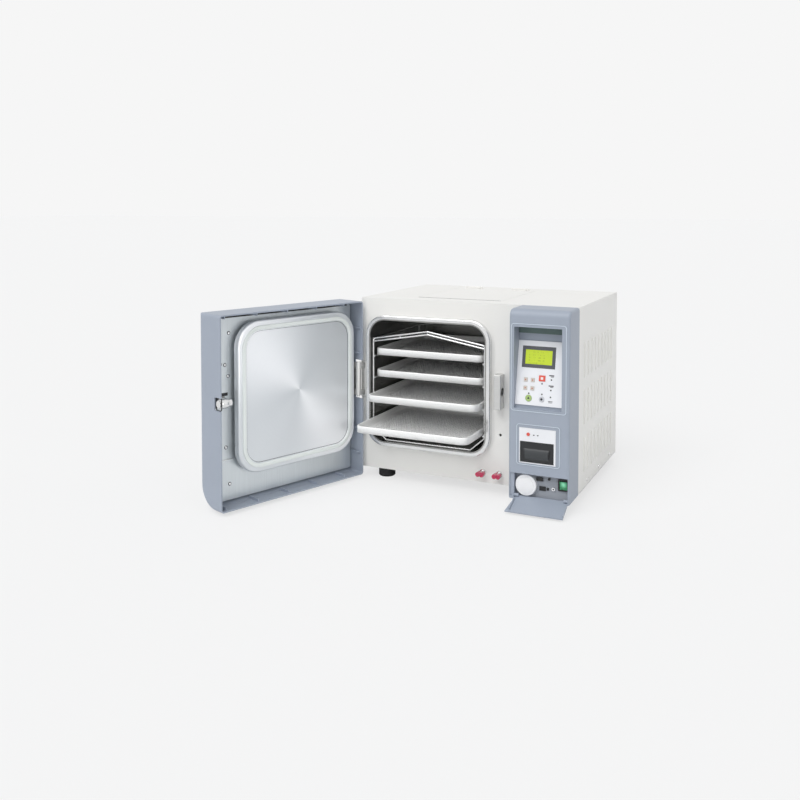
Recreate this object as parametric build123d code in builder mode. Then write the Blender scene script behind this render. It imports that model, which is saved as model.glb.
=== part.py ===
"""Bench autoclave with its door standing open: every separate piece as its own solid.

Millimetres, +Z up, +X to the right of someone who faces the machine, +Y towards its back.
The origin is the centre of the sole of the front left foot.
"""
from build123d import *
from math import atan2, cos, hypot, sin
import os

os.makedirs("parts", exist_ok=True)

# Cabinet
cabinet_width = 530.0
cabinet_depth = 386.0
cabinet_height = 410.0
sheet = 1.5
pan_sheet = 2.0
panel_return = 9.0
foot_height = 24.0
foot_radius = 20.0
foot_inset_x = 52.0
foot_inset_y = 32.0

# Running and standing clearances
shaft_gap = 0.05
slide_gap = 0.2
stand_gap = 0.3

# Pressure chamber, centred on the door axis line
chamber_inset = 173.5
chamber_rise = 214.0
chamber_opening = 290.0
chamber_corner = 38.0
chamber_wall = 3.0
chamber_length = 318.0
chamber_back = 5.0
flange_width = 9.0
flange_depth = 13.0
flange_round = 4.0
heater_thickness = 2.0
heater_width = 40.0
heater_starts = (60.0, 140.0, 220.0)
jacket_thickness = 10.0
jacket_start = 6.0
saddle_width = 220.0
saddle_thickness = 3.0
saddle_starts = (70.0, 260.0)

# Hinge of the door
hinge_x = -3.0
hinge_y = -14.0
open_angle = 110.0
pin_radius = 4.0
pin_head = 6.0
knuckle_radius = 7.0
bracket_height = 78.0
knuckle_height = 51.0
bracket_base = 3.0

# Door
door_overhang = 8.0
door_gap = 2.0
door_wall = 3.0
door_drop = 16.0
door_top_gap = 8.0
door_foot_round = 50.0
door_head_round = 14.0
door_side_round = 7.0
plate_depth = 43.0
door_plate_sheet = 2.0
plate_margin = 5.0
beam_depth = 12.0
beam_height = 28.0
boss_radius = 6.0
rib_thickness = 2.5
rib_height = 6.0
rib_count = 5
rib_pitch = 83.0

# Lid of the chamber, carried by the door
lid_size = 334.0
lid_corner = 57.0
lid_thickness = 18.0
lid_stand = 16.0
lid_round = 5.0
panel_size = 290.0
panel_sink = 1.2
seal_width = 9.0
seal_depth = 4.0
seal_proud = 2.6
spindle_radius = 14.0
stud_radius = 8.0
spindle_nut_radius = 15.0
spindle_nut_height = 7.0

# Latch
keeper_inset = 344.0
keeper_width = 16.0
keeper_depth = 25.5
keeper_height = 78.0
keeper_wall = 3.0
bolt_radius = 8.0
bolt_depth = 13.0
bolt_start = 361.5
bolt_length = 31.5
bolt_travel = 13.0
shank_start = 374.0
shank_width = 14.0
shank_height = 15.0
prong_start = 354.0
yoke_thickness = 3.0
yoke_height = 28.0
crank_pin_radius = 2.5
crank_slot_gap = 0.4
handle_x = 352.0
handle_spindle_radius = 6.0
handle_boss_radius = 12.0
handle_boss_end = 66.0
handle_hub_radius = 17.0
handle_hub_height = 12.0
handle_reach = 92.0
handle_width = 24.0
handle_thickness = 10.0
crank_disc_radius = 13.0
crank_disc_thickness = 4.0

# Control tower
tower_inset = 397.0
tower_depth = 79.0
tower_wall = 3.0
tower_head_round = 16.0
tower_side_round = 6.0
well_inset = 11.0
well_width = 105.0
well_bottom = 221.0
well_top = 396.0
niche_depth = 35.0
fascia_top = 363.0
fascia_bottom = 228.0
fascia_bottom_depth = 8.0
fascia_thickness = 3.0
tub_wall = 2.5
window_size = (93.0, 130.0)
bead_width = 1.2
bead_height = 0.6
well_bead = (5.0, 215.5, 121.0, 188.0)
printer_bead = (18.0, 100.5, 95.0, 88.0)
bead_corner = 6.0

# Faceplate pieces, measured on the tilted face from its middle
display_frame_size = (73.5, 46.5)
display_centre = (-5.5, 34.0)
glass_size = (59.5, 31.0)
display_depth = 6.0
display_proud = 0.8
glass_sink = 1.0
glass_thickness = 2.0
key_size = 8.5
key_depth = 5.0
key_proud = 1.4
key_travel = 0.6
key_gap = 0.15
key_lip = 1.2
key_chamfer = 0.5
small_keys = {
    "key_up": (-31.3, -15.3),
    "key_down": (-31.3, -32.9),
    "key_left": (-15.8, -15.3),
    "key_right": (-15.8, -32.9),
}
round_keys = {
    "start_key": (-22.9, -54.2, 7.0),
    "drain_key": (6.0, -54.5, 5.8),
}
stop_key_centre = (4.5, -10.3)
stop_key_size = (14.0, 12.5)
lamp_radius = 1.6
lamp_length = 5.0
lamp_proud = 0.4
lamp_centres = (
    (5.0, -21.5), (-22.9, -43.9), (6.0, -43.9), (25.0, -48.5), (25.0, -12.0), (25.0, -34.0),
)

# Panel printer
printer_inset = 24.0
printer_width = 80.0
printer_bottom = 104.5
printer_height = 76.0
printer_depth = 50.0
printer_proud = 0.8
printer_rim = 1.8
cover_height = 44.6
cover_right_rim = 4.0
cover_barrel = 2.4
cover_bulge = 2.8
cover_pin_radius = 1.5
roll_radius = 19.0
roll_length = 57.0
roll_spindle = 2.0
feed_key_radius = 3.6
feed_key_inset = 20.0
feed_key_drop = 13.5

# Service bay and its flap
bay_bottom = 27.0
bay_top = 80.5
cheek_width = 12.0
bay_depth = 21.0
bay_plate = 2.0
filter_radius = 23.2
filter_depth = 12.0
filter_centre = (36.5, 54.0)
filter_round = 2.0
rocker_frame_size = (23.0, 24.5)
rocker_frame_depth = 18.0
rocker_frame_proud = 4.0
rocker_centre = (117.0, 60.7)
rocker_size = (16.4, 18.0)
rocker_opening = (17.2, 20.0)
rocker_pin_radius = 1.5
rocker_throw = 16.0
port_proud = 2.0
port_boxes = ((65.5, 68.0, 11.0, 6.0), (71.0, 48.0, 14.0, 9.0), (82.5, 48.0, 5.0, 5.0))
port_discs = ((85.5, 70.0, 3.0), (95.0, 49.7, 3.5))
flap_pin_height = 31.0
flap_pin_depth = 73.0
flap_pin_radius = 2.0
flap_barrel = 3.5
flap_thickness = 2.5
flap_rest_angle = 115.0
flap_rib = 4.0
flap_rib_thickness = 2.0
flap_foot = 27.5
flap_shoulder = 40.0
flap_barrel_length = 9.0
bay_slot = 15.0
flap_recess = 30.0

# Rack and trays
wire = 4.0
rack_front = -3.0
rack_depth = 268.0
rack_shoulder = 337.0
rack_ridge = 361.0
rack_second_wire = 7.0
rack_side_gap = 2.0
rack_bevel = 34.0
rack_bevel_rise = 30.0
rack_bend = 6.0
tray_width = 276.0
tray_depth = 286.0
tray_height = 17.0
tray_sheet = 1.5
tray_corner = 20.0
tray_rim = 3.5
tray_rim_height = 3.0
tray_front = 4.0
tray_levels = (297.0, 245.0, 192.0, 132.0)
tray_pulls = (0.0, 0.0, 44.0, 103.0)

# Drain taps
drain_insets = (311.0, 350.0)
drain_rise = 24.0
drain_collar_radius = 7.0
drain_collar = 6.0
drain_stem_radius = 3.0
drain_knob_start = 14.0
drain_knob_depth = 13.0
drain_lobe_radius = 5.5
drain_lobe_pitch = 9.0

# Water tank and its lid in the roof
tank_lid_inset = (121.0, 60.0)
tank_lid_size = (213.0, 270.0)
tank_wall = 3.0
tank_rim = 9.0
tank_ledge = 5.0
lid_gap = 0.8
lid_skirt = 8.0
lid_barrel = 3.0
lid_trunnion = 1.5
lid_barrel_length = 34.0
lid_ear = 6.0
lid_notch_radius = 4.5

# Vent slots in the sides
slot_width = 3.0
slot_height = 78.0
slot_pitch_y = 34.0
slot_columns = 9
slot_first_y = 48.0
slot_rows = (62.0, 168.0, 274.0)

# Machinery behind the tower
bay_inset = 345.0
board_size = (118.0, 170.0)
board_thickness = 1.6
board_stand = 8.0
board_rise = 226.0
supply_size = (110.0, 95.0, 50.0)
supply_start = (402.0, 20.0)
fan_size = 120.0
fan_depth = 25.0
fan_bore = 57.0
fan_blade_radius = 54.0
fan_hub_radius = 20.0
fan_shaft_radius = 2.0
fan_blades = 7
fan_centre = (440.0, 250.0)
condenser_depth = 30.0
condenser_fin_pitch = 7.0
condenser_fin = 1.2
valve_inset = (110.0, 100.0)
valve_radius = 9.0
inlet_centre = (470.0, 70.0)
spigot_insets = (60.0, 100.0)
spigot_rise = 46.0
spigot_radius = 5.0
spigot_length = 30.0
screw_head_radius = 4.0
screw_head_height = 2.0

# Places worked out from the sizes above
left = -foot_inset_x
right = left + cabinet_width
front = -foot_inset_y
back = front + cabinet_depth
floor = foot_height
roof = floor + cabinet_height
chamber_x = left + chamber_inset
chamber_z = floor + chamber_rise
chamber_outer = chamber_opening + 2 * chamber_wall
chamber_outer_corner = chamber_corner + chamber_wall
pin_x = left + hinge_x
pin_y = front + hinge_y
tower_left = left + tower_inset
tower_face = front - tower_depth
door_left = left - door_overhang
door_right = tower_left - door_gap
door_face = tower_face
door_bottom = floor - door_drop
door_top = roof - door_top_gap
door_rim = front - door_gap
plate_y = front - plate_depth
beam_y = plate_y - door_plate_sheet
door_open = Location((pin_x, pin_y, 0), (0, 0, -open_angle)) * Location((-pin_x, -pin_y, 0))


def upright(y):
    """A sketch plane that faces the front at depth y: its own x is X and its own y is Z."""
    return Plane(origin=(0, y, 0), x_dir=(1, 0, 0), z_dir=(0, -1, 0))


def across(x):
    """A sketch plane that faces right at x: its own x is Y and its own y is Z."""
    return Plane(origin=(x, 0, 0), x_dir=(0, 1, 0), z_dir=(1, 0, 0))


def level(z):
    """A flat sketch plane at height z."""
    return Plane.XY.offset(z)


def slab(x, y, z, mode=Mode.ADD):
    """A box between two values of x, y and z."""
    size = (x[1] - x[0], y[1] - y[0], z[1] - z[0])
    with Locations((x[0], y[0], z[0])):
        Box(*size, align=(Align.MIN, Align.MIN, Align.MIN), mode=mode)


def rod(start, radius, length, turn=(0, 0, 0), mode=Mode.ADD):
    """A cylinder that leaves start along +Z, or along the way that turn gives."""
    with Locations(Location(start, turn)):
        Cylinder(radius, length, align=(Align.CENTER, Align.CENTER, Align.MIN), mode=mode)


def case_body(x, y, z, head_round, foot_round, side_round):
    """A case with rounded front edges, seen from its side as a rounded profile."""
    with BuildPart() as case:
        with BuildSketch(across(x[0])) as profile:
            with Locations(((y[0] + y[1]) / 2, (z[0] + z[1]) / 2)):
                Rectangle(y[1] - y[0], z[1] - z[0])
            faced = profile.vertices().group_by(Axis.X)[0].sort_by(Axis.Y)
            if foot_round > 0:
                fillet(faced[0], foot_round)
            fillet(faced[-1], head_round)
        extrude(amount=x[1] - x[0])
        sides = case.faces().filter_by(Axis.X)
        fillet([edge for edge in sides.edges() if edge.center().Y < y[1] - 1
                and (foot_round > 0 or edge.center().Z > z[0] + 1)], side_round)
    return case.part


def keep(piece, node, rest=Location()):
    """Swing the finished piece to where it stands at rest, name it and write it."""
    piece.part = piece.part.moved(rest)
    piece.part.label = node
    export_step(piece.part, f"parts/{node}.step")


to_right = (0, 90, 0)
to_back = (-90, 0, 0)
to_front = (90, 0, 0)

# Base pan with the two saddles that carry the chamber
jacket_inner = chamber_outer + 2 * heater_thickness
jacket_inner_corner = chamber_outer_corner + heater_thickness
jacket_outer = jacket_inner + 2 * jacket_thickness
jacket_outer_corner = jacket_inner_corner + jacket_thickness
jacket_bottom = chamber_z - jacket_outer / 2
pan_top = floor + pan_sheet
inner_front = front + panel_return
inner_back = back - panel_return
with BuildPart() as base_pan:
    slab((left, right), (inner_front, inner_back), (floor, pan_top))
    for start in saddle_starts:
        slab(
            (chamber_x - saddle_width / 2, chamber_x + saddle_width / 2),
            (front + start, front + start + saddle_thickness),
            (pan_top, jacket_bottom),
        )
keep(base_pan, "base_pan")

# Front panel, a shallow pan whose returns close the cover's front edge
drain_z = floor + drain_rise
with BuildPart() as front_panel:
    slab((left, right), (front, inner_front), (floor, roof))
    slab(
        (left + sheet, right - sheet), (front + sheet, inner_front),
        (floor + sheet, roof - sheet), mode=Mode.SUBTRACT,
    )
    with BuildSketch(upright(front)):
        with Locations((chamber_x, chamber_z)):
            RectangleRounded(chamber_outer, chamber_outer, chamber_outer_corner)
    extrude(amount=-2 * sheet, mode=Mode.SUBTRACT)
    for inset in drain_insets:
        rod((left + inset, front, drain_z), drain_stem_radius + 2, 2 * sheet, to_back,
            mode=Mode.SUBTRACT)
    rod((left + keeper_inset + keeper_width / 2, front, floor + 113), 3.0, 2 * sheet, to_back,
        mode=Mode.SUBTRACT)
keep(front_panel, "front_panel")

# Outer cover: roof and both sides folded from one sheet, with vent slots and the tank opening
tank_x = (left + tank_lid_inset[0], left + tank_lid_inset[0] + tank_lid_size[0])
tank_y = (front + tank_lid_inset[1], front + tank_lid_inset[1] + tank_lid_size[1])
cover_under = roof - sheet
barrel_y = tank_y[1] + lid_barrel
barrel_z = roof + lid_barrel
barrel_centres = (tank_x[0] + tank_lid_size[0] / 5, tank_x[1] - tank_lid_size[0] / 5)
with BuildPart() as outer_cover:
    slab((left, right), (inner_front, inner_back), (pan_top, roof))
    slab((left + sheet, right - sheet), (inner_front, inner_back), (pan_top, cover_under),
         mode=Mode.SUBTRACT)
    slab(tank_x, tank_y, (cover_under, roof), mode=Mode.SUBTRACT)
    for row in slot_rows:
        for column in range(slot_columns):
            y = front + slot_first_y + column * slot_pitch_y
            slab((left, right), (y, y + slot_width), (floor + row - foot_height,
                 floor + row - foot_height + slot_height), mode=Mode.SUBTRACT)
    for centre in barrel_centres:
        for side in (-1, 1):
            ear_x = centre + side * (lid_barrel_length / 2 + stand_gap + lid_ear / 2)
            slab((ear_x - lid_ear / 2, ear_x + lid_ear / 2),
                 (barrel_y - lid_barrel + lid_gap, barrel_y + lid_barrel), (roof, barrel_z))
            rod((ear_x - lid_ear / 2, barrel_y, barrel_z), lid_barrel - lid_gap, lid_ear, to_right)
            rod((ear_x - lid_ear / 2, barrel_y, barrel_z), lid_trunnion + shaft_gap, lid_ear,
                to_right, mode=Mode.SUBTRACT)
keep(outer_cover, "outer_cover")

# Rear panel with the fan grille and the holes for what passes through it
fan_x = left + fan_centre[0]
fan_z = floor + fan_centre[1] - foot_height
valve_x = chamber_x + valve_inset[0]
valve_z = chamber_z + valve_inset[1]
inlet_x = left + inlet_centre[0]
inlet_z = floor + inlet_centre[1] - foot_height
inlet_size = (48.0, 27.0)
spigot_z = floor + spigot_rise
with BuildPart() as rear_panel:
    slab((left, right), (inner_back, back), (floor, roof))
    slab((left + sheet, right - sheet), (inner_back, back - sheet),
         (floor + sheet, roof - sheet), mode=Mode.SUBTRACT)
    with BuildSketch(upright(back - 2 * sheet)):
        with Locations((fan_x, fan_z)):
            with GridLocations(0, 12.0, 1, 9):
                SlotOverall(84.0, 5.0)
    extrude(amount=-3 * sheet, mode=Mode.SUBTRACT)
    rod((valve_x, back - 2 * sheet, valve_z), valve_radius + 1, 3 * sheet, to_back,
        mode=Mode.SUBTRACT)
    slab((inlet_x - inlet_size[0] / 2 + 8, inlet_x + inlet_size[0] / 2 - 8),
         (back - 2 * sheet, back), (inlet_z - inlet_size[1] / 2 + 2, inlet_z + inlet_size[1] / 2 - 2),
         mode=Mode.SUBTRACT)
    for inset in spigot_insets:
        rod((left + inset, back - 2 * sheet, spigot_z), spigot_radius, 3 * sheet, to_back,
            mode=Mode.SUBTRACT)
keep(rear_panel, "rear_panel")

# Four rubber feet
foot_places = [
    (x, y)
    for x in (0, cabinet_width - 2 * foot_inset_x)
    for y in (0, cabinet_depth - 2 * foot_inset_y)
]
with BuildPart() as rubber_feet:
    with BuildSketch(level(0)):
        with Locations(*foot_places):
            Circle(foot_radius)
    extrude(amount=foot_height)
    chamfer(rubber_feet.edges().group_by(Axis.Z)[0], 2.0)
keep(rubber_feet, "rubber_feet")

# Screws of the cover and the rear panel, all of one kind
with BuildPart() as case_screws:
    for y in (0.2, 0.5, 0.8):
        screw_y = front + y * cabinet_depth
        rod((right, screw_y, floor + 14), screw_head_radius, screw_head_height, to_right)
        rod((left, screw_y, floor + 14), screw_head_radius, screw_head_height, (0, -90, 0))
    for x in (left + 25, left + cabinet_width / 2, right - 25):
        for z in (floor + 16, roof - 16):
            rod((x, back, z), screw_head_radius, screw_head_height, to_back)
    head_edges = case_screws.edges().filter_by(GeomType.CIRCLE)
    outer_rims = [
        edge for edge in head_edges
        if max(abs(edge.center().X - left), abs(edge.center().X - right)) > cabinet_width + 1
        or edge.center().Y > back + screw_head_height / 2
    ]
    fillet(outer_rims, screw_head_height * 0.6)
keep(case_screws, "case_screws")

# Chamber: a square vessel with round corners and a welded back
chamber_mouth = front - flange_depth
chamber_end = front + chamber_length
with BuildPart() as chamber:
    with BuildSketch(upright(chamber_mouth)):
        with Locations((chamber_x, chamber_z)):
            RectangleRounded(chamber_outer, chamber_outer, chamber_outer_corner)
    extrude(amount=-(chamber_length + flange_depth + chamber_back))
    with BuildSketch(upright(chamber_mouth)):
        with Locations((chamber_x, chamber_z)):
            RectangleRounded(chamber_opening, chamber_opening, chamber_corner)
    extrude(amount=-(chamber_length + flange_depth), mode=Mode.SUBTRACT)
    rod((valve_x, chamber_end, valve_z), valve_radius, chamber_back, to_back, mode=Mode.SUBTRACT)
keep(chamber, "chamber")

# Flange: the polished ring that the lid's seal closes on
flange_outer = chamber_outer + 2 * flange_width
with BuildPart() as chamber_flange:
    with BuildSketch(upright(front)):
        with Locations((chamber_x, chamber_z)):
            RectangleRounded(flange_outer, flange_outer, chamber_outer_corner + flange_width)
            RectangleRounded(chamber_outer, chamber_outer, chamber_outer_corner,
                             mode=Mode.SUBTRACT)
    extrude(amount=flange_depth)
    fillet(chamber_flange.faces().sort_by(Axis.Y)[0].outer_wire().edges(), flange_round)
keep(chamber_flange, "chamber_flange")

# Heater bands round the vessel
with BuildPart() as heater_bands:
    for start in heater_starts:
        with BuildSketch(upright(front + start)):
            with Locations((chamber_x, chamber_z)):
                RectangleRounded(jacket_inner, jacket_inner, jacket_inner_corner)
                RectangleRounded(chamber_outer, chamber_outer, chamber_outer_corner,
                                 mode=Mode.SUBTRACT)
        extrude(amount=-heater_width)
keep(heater_bands, "heater_bands")

# Insulation jacket over vessel and heaters, closed at the back
jacket_y = front + jacket_start
jacket_end = chamber_end + chamber_back + jacket_thickness
with BuildPart() as insulation_jacket:
    with BuildSketch(upright(jacket_y)):
        with Locations((chamber_x, chamber_z)):
            RectangleRounded(jacket_outer, jacket_outer, jacket_outer_corner)
    extrude(amount=-(jacket_end - jacket_y))
    with BuildSketch(upright(jacket_y)):
        with Locations((chamber_x, chamber_z)):
            RectangleRounded(jacket_inner, jacket_inner, jacket_inner_corner)
    extrude(amount=-(chamber_end + chamber_back - jacket_y), mode=Mode.SUBTRACT)
    rod((valve_x, chamber_end, valve_z), valve_radius + 1, chamber_back + jacket_thickness + 1,
        to_back, mode=Mode.SUBTRACT)
keep(insulation_jacket, "insulation_jacket")

# Water tank on top of the jacket, under the roof
jacket_top = chamber_z + jacket_outer / 2
tank_outer_x = (tank_x[0] - tank_rim, tank_x[1] + tank_rim)
tank_outer_y = (tank_y[0] - tank_rim, tank_y[1] + tank_rim)
with BuildPart() as water_tank:
    slab(tank_outer_x, tank_outer_y, (jacket_top, cover_under))
    slab((tank_outer_x[0] + tank_wall, tank_outer_x[1] - tank_wall),
         (tank_outer_y[0] + tank_wall, tank_outer_y[1] - tank_wall),
         (jacket_top + tank_wall, cover_under - tank_wall), mode=Mode.SUBTRACT)
    slab((tank_x[0] + tank_ledge, tank_x[1] - tank_ledge),
         (tank_y[0] + tank_ledge, tank_y[1] - tank_ledge),
         (cover_under - tank_wall, cover_under), mode=Mode.SUBTRACT)
    slab((chamber_x - tank_wall / 2, chamber_x + tank_wall / 2),
         (tank_outer_y[0] + tank_wall, tank_outer_y[1] - tank_wall),
         (jacket_top + tank_wall, cover_under - tank_wall - lid_skirt))
keep(water_tank, "water_tank")

# Lid of the tank, flush in the roof, with two hinge barrels at its back
with BuildPart() as tank_lid:
    slab((tank_x[0] + lid_gap, tank_x[1] - lid_gap), (tank_y[0] + lid_gap, tank_y[1] - lid_gap),
         (cover_under, roof))
    skirt = tank_ledge + 2 * lid_gap
    slab((tank_x[0] + skirt, tank_x[1] - skirt), (tank_y[0] + skirt, tank_y[1] - 3 * skirt),
         (cover_under - lid_skirt, cover_under))
    slab((tank_x[0] + skirt + sheet, tank_x[1] - skirt - sheet),
         (tank_y[0] + skirt + sheet, tank_y[1] - 3 * skirt - sheet),
         (cover_under - lid_skirt, cover_under), mode=Mode.SUBTRACT)
    rod((tank_x[0] + lid_gap, tank_y[0] + lid_gap, cover_under), lid_notch_radius, sheet,
        mode=Mode.SUBTRACT)
    for centre in barrel_centres:
        x = (centre - lid_barrel_length / 2, centre + lid_barrel_length / 2)
        slab(x, (barrel_y - 3 * lid_barrel, barrel_y), (roof, roof + sheet))
        rod((x[0], barrel_y, barrel_z), lid_barrel - lid_gap, x[1] - x[0], to_right)
        slab(x, (barrel_y - lid_barrel, barrel_y), (roof + sheet / 2, barrel_z))
        reach = lid_barrel_length + 2 * stand_gap + 2 * lid_ear
        rod((centre - reach / 2, barrel_y, barrel_z), lid_trunnion, reach, to_right)
keep(tank_lid, "tank_lid")

# Vacuum pump, water pump and valve manifold, bolted to the pan behind the tower
with BuildPart() as pump_set:
    pump_x = left + bay_inset + 52
    pump_z = pan_top + 46
    rod((pump_x, front + 150, pump_z), 36.0, 120.0, to_back)
    slab((pump_x - 42, pump_x + 42), (front + 122, front + 150), (pan_top + 6, pan_top + 94))
    for y in (front + 160, front + 235):
        slab((pump_x - 34, pump_x + 34), (y, y + 20), (pan_top, pump_z - 26))
    slab((pump_x - 34, pump_x + 34), (front + 122, front + 255), (pan_top, pan_top + 6))
    water_x = left + 486
    slab((water_x - 22, water_x + 22), (front + 150, front + 196), (pan_top, pan_top + 44))
    rod((water_x, front + 196, pan_top + 24), 17.0, 52.0, to_back)
    manifold_x = left + 368
    slab((manifold_x - 18, manifold_x + 18), (front + 24, front + 92), (pan_top, pan_top + 28))
    for index in range(3):
        coil_y = front + 36 + index * 22
        rod((manifold_x, coil_y, pan_top + 28), 9.0, 34.0)
keep(pump_set, "pump_set")

# Condenser: a finned block against the fan
fan_face = back - sheet - fan_depth
condenser_x = (fan_x - fan_size / 2, fan_x + fan_size / 2)
condenser_z = (fan_z - fan_size / 2, fan_z + fan_size / 2)
with BuildPart() as condenser:
    slab(condenser_x, (fan_face - condenser_depth, fan_face), (condenser_z[0], condenser_z[0] + 4))
    slab(condenser_x, (fan_face - condenser_depth, fan_face), (condenser_z[1] - 4, condenser_z[1]))
    fins = int(fan_size / condenser_fin_pitch)
    for index in range(fins + 1):
        fin_x = condenser_x[0] + index * (fan_size - condenser_fin) / fins
        slab((fin_x, fin_x + condenser_fin), (fan_face - condenser_depth, fan_face), condenser_z)
    for z in (-40, 0, 40):
        rod((condenser_x[0], fan_face - condenser_depth / 2, fan_z + z), 5.0, fan_size, to_right)
keep(condenser, "condenser")

# Fan frame with its motor and the rotor on the shaft
with BuildPart() as fan_frame:
    slab(condenser_x, (fan_face, back - sheet), condenser_z)
    rod((fan_x, fan_face, fan_z), fan_bore, fan_depth, to_back, mode=Mode.SUBTRACT)
    for turn in range(4):
        with Locations(Location((fan_x, back - sheet, fan_z), (0, 45 + 90 * turn, 0))):
            Box(fan_bore + 8, 3.0, 5.0, align=(Align.MIN, Align.MAX, Align.CENTER))
    rod((fan_x, back - sheet - 8, fan_z), fan_hub_radius, 8.0, to_back)
    rod((fan_x, fan_face, fan_z), fan_bore + 1, 1.0, to_back, mode=Mode.SUBTRACT)
    rod((fan_x, back - sheet - 8, fan_z), fan_shaft_radius + shaft_gap, 7.0, to_back,
        mode=Mode.SUBTRACT)
keep(fan_frame, "fan_frame")

with BuildPart() as fan_rotor:
    rod((fan_x, fan_face + 2, fan_z), fan_hub_radius, fan_depth - 10 - stand_gap, to_back)
    for index in range(fan_blades):
        turn = index * 360 / fan_blades
        place = Location((fan_x, fan_face + 2 + (fan_depth - 10) / 2, fan_z), (0, turn, 0))
        with Locations(place * Location((0, 0, fan_hub_radius - 2), (0, 0, 35))):
            Box(22.0, 1.6, fan_blade_radius - fan_hub_radius - 2,
                align=(Align.CENTER, Align.CENTER, Align.MIN))
    rod((fan_x, fan_face + 2, fan_z), fan_shaft_radius, fan_depth - 4, to_back)
keep(fan_rotor, "fan_rotor")

# Control board on four posts behind the tower
board_x = left + tower_inset + 6
board_z = floor + board_rise - foot_height
board_y = front + sheet + board_stand
with BuildPart() as control_board:
    slab((board_x, board_x + board_size[0]), (board_y, board_y + board_thickness),
         (board_z, board_z + board_size[1]))
    for x in (board_x + 5, board_x + board_size[0] - 5):
        for z in (board_z + 5, board_z + board_size[1] - 5):
            rod((x, front + sheet, z), 3.0, board_stand, to_back)
    parts_y = board_y + board_thickness
    slab((board_x + 12, board_x + 40), (parts_y, parts_y + 16), (board_z + 14, board_z + 52))
    slab((board_x + 54, board_x + 90), (parts_y, parts_y + 3), (board_z + 70, board_z + 106))
    for index in range(4):
        rod((board_x + 60 + 14 * index, parts_y, board_z + 30), 5.5, 20.0, to_back)
        slab((board_x + 14 + 22 * index, board_x + 30 + 22 * index), (parts_y, parts_y + 10),
             (board_z + 140, board_z + 158))
keep(control_board, "control_board")

# Power supply in its cage on the pan
supply_x = left + supply_start[0]
supply_y = front + supply_start[1]
with BuildPart() as power_supply:
    slab((supply_x, supply_x + supply_size[0]), (supply_y, supply_y + supply_size[1]),
         (pan_top, pan_top + supply_size[2]))
    with BuildSketch(level(pan_top + supply_size[2])):
        with Locations((supply_x + supply_size[0] / 2, supply_y + supply_size[1] / 2)):
            with GridLocations(12.0, 0, 8, 1):
                SlotOverall(60.0, 4.0, rotation=90)
    extrude(amount=-2.0, mode=Mode.SUBTRACT)
keep(power_supply, "power_supply")

# Safety valve, screwed into the back of the chamber and led out through the rear panel
with BuildPart() as safety_valve:
    rod((valve_x, chamber_end, valve_z), valve_radius, back - chamber_end + 6, to_back)
    with BuildSketch(upright(back + 6)):
        with Locations((valve_x, valve_z)):
            RegularPolygon(valve_radius + 2, 6)
    extrude(amount=-10.0)
    rod((valve_x, back + 16, valve_z), 4.0, 8.0, to_back)
keep(safety_valve, "safety_valve")

# Power inlet and two hose spigots at the back
with BuildPart() as rear_fittings:
    slab((inlet_x - inlet_size[0] / 2, inlet_x + inlet_size[0] / 2), (back, back + 3),
         (inlet_z - inlet_size[1] / 2, inlet_z + inlet_size[1] / 2))
    slab((inlet_x - inlet_size[0] / 2 + 8, inlet_x + inlet_size[0] / 2 - 8),
         (back - 20, back), (inlet_z - inlet_size[1] / 2 + 2, inlet_z + inlet_size[1] / 2 - 2))
    slab((inlet_x - 12, inlet_x + 12), (back - 15, back + 3), (inlet_z - 8, inlet_z + 8),
         mode=Mode.SUBTRACT)
    for x, z in ((-7, -1), (0, 2), (7, -1)):
        slab((inlet_x + x - 1, inlet_x + x + 1), (back - 15, back - 2),
             (inlet_z + z - 2, inlet_z + z + 2))
    for inset in spigot_insets:
        rod((left + inset, back - 12, spigot_z), spigot_radius, spigot_length + 12, to_back)
        with BuildSketch(upright(back)):
            with Locations((left + inset, spigot_z)):
                RegularPolygon(spigot_radius + 4, 6)
        extrude(amount=-5.0)
keep(rear_fittings, "rear_fittings")

# Hinge bracket: base plate and two ears that hold the pin
bracket_low = chamber_z - bracket_height / 2
bracket_high = chamber_z + bracket_height / 2
ear_heights = ((bracket_low, chamber_z - knuckle_height / 2 - stand_gap),
               (chamber_z + knuckle_height / 2 + stand_gap, bracket_high))
with BuildPart() as hinge_bracket:
    slab((left, left + 15), (front - bracket_base, front), (bracket_low - 5, bracket_high + 5))
    for low, high in ear_heights:
        with BuildSketch(level(low)):
            with Locations((pin_x, pin_y)):
                Circle(knuckle_radius)
            with Locations((left + 5, front - bracket_base / 2)):
                Rectangle(10, bracket_base)
            make_hull()
        extrude(amount=high - low)
    rod((pin_x, pin_y, bracket_low), pin_radius, bracket_height, mode=Mode.SUBTRACT)
keep(hinge_bracket, "hinge_bracket")

with BuildPart() as hinge_pin:
    rod((pin_x, pin_y, bracket_low - 3), pin_radius, bracket_height + 3)
    rod((pin_x, pin_y, bracket_high), pin_head, 3.0)
keep(hinge_pin, "hinge_pin")

# Latch keeper: a folded box with a round hole in its right side for the bolt
keeper_x = left + keeper_inset
bolt_y = front - bolt_depth
with BuildPart() as latch_keeper:
    slab((keeper_x, keeper_x + keeper_width), (front - keeper_depth, front),
         (chamber_z - keeper_height / 2, chamber_z + keeper_height / 2))
    slab((keeper_x + keeper_wall, keeper_x + keeper_width - keeper_wall),
         (front - keeper_depth + keeper_wall, front),
         (chamber_z - keeper_height / 2 + keeper_wall, chamber_z + keeper_height / 2 - keeper_wall),
         mode=Mode.SUBTRACT)
    rod((keeper_x + keeper_width / 2, bolt_y, chamber_z), bolt_radius + 1.5, keeper_width, to_right,
        mode=Mode.SUBTRACT)
    fillet(latch_keeper.faces().sort_by(Axis.Y)[0].outer_wire().edges(), 1.5)
keep(latch_keeper, "latch_keeper")

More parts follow.
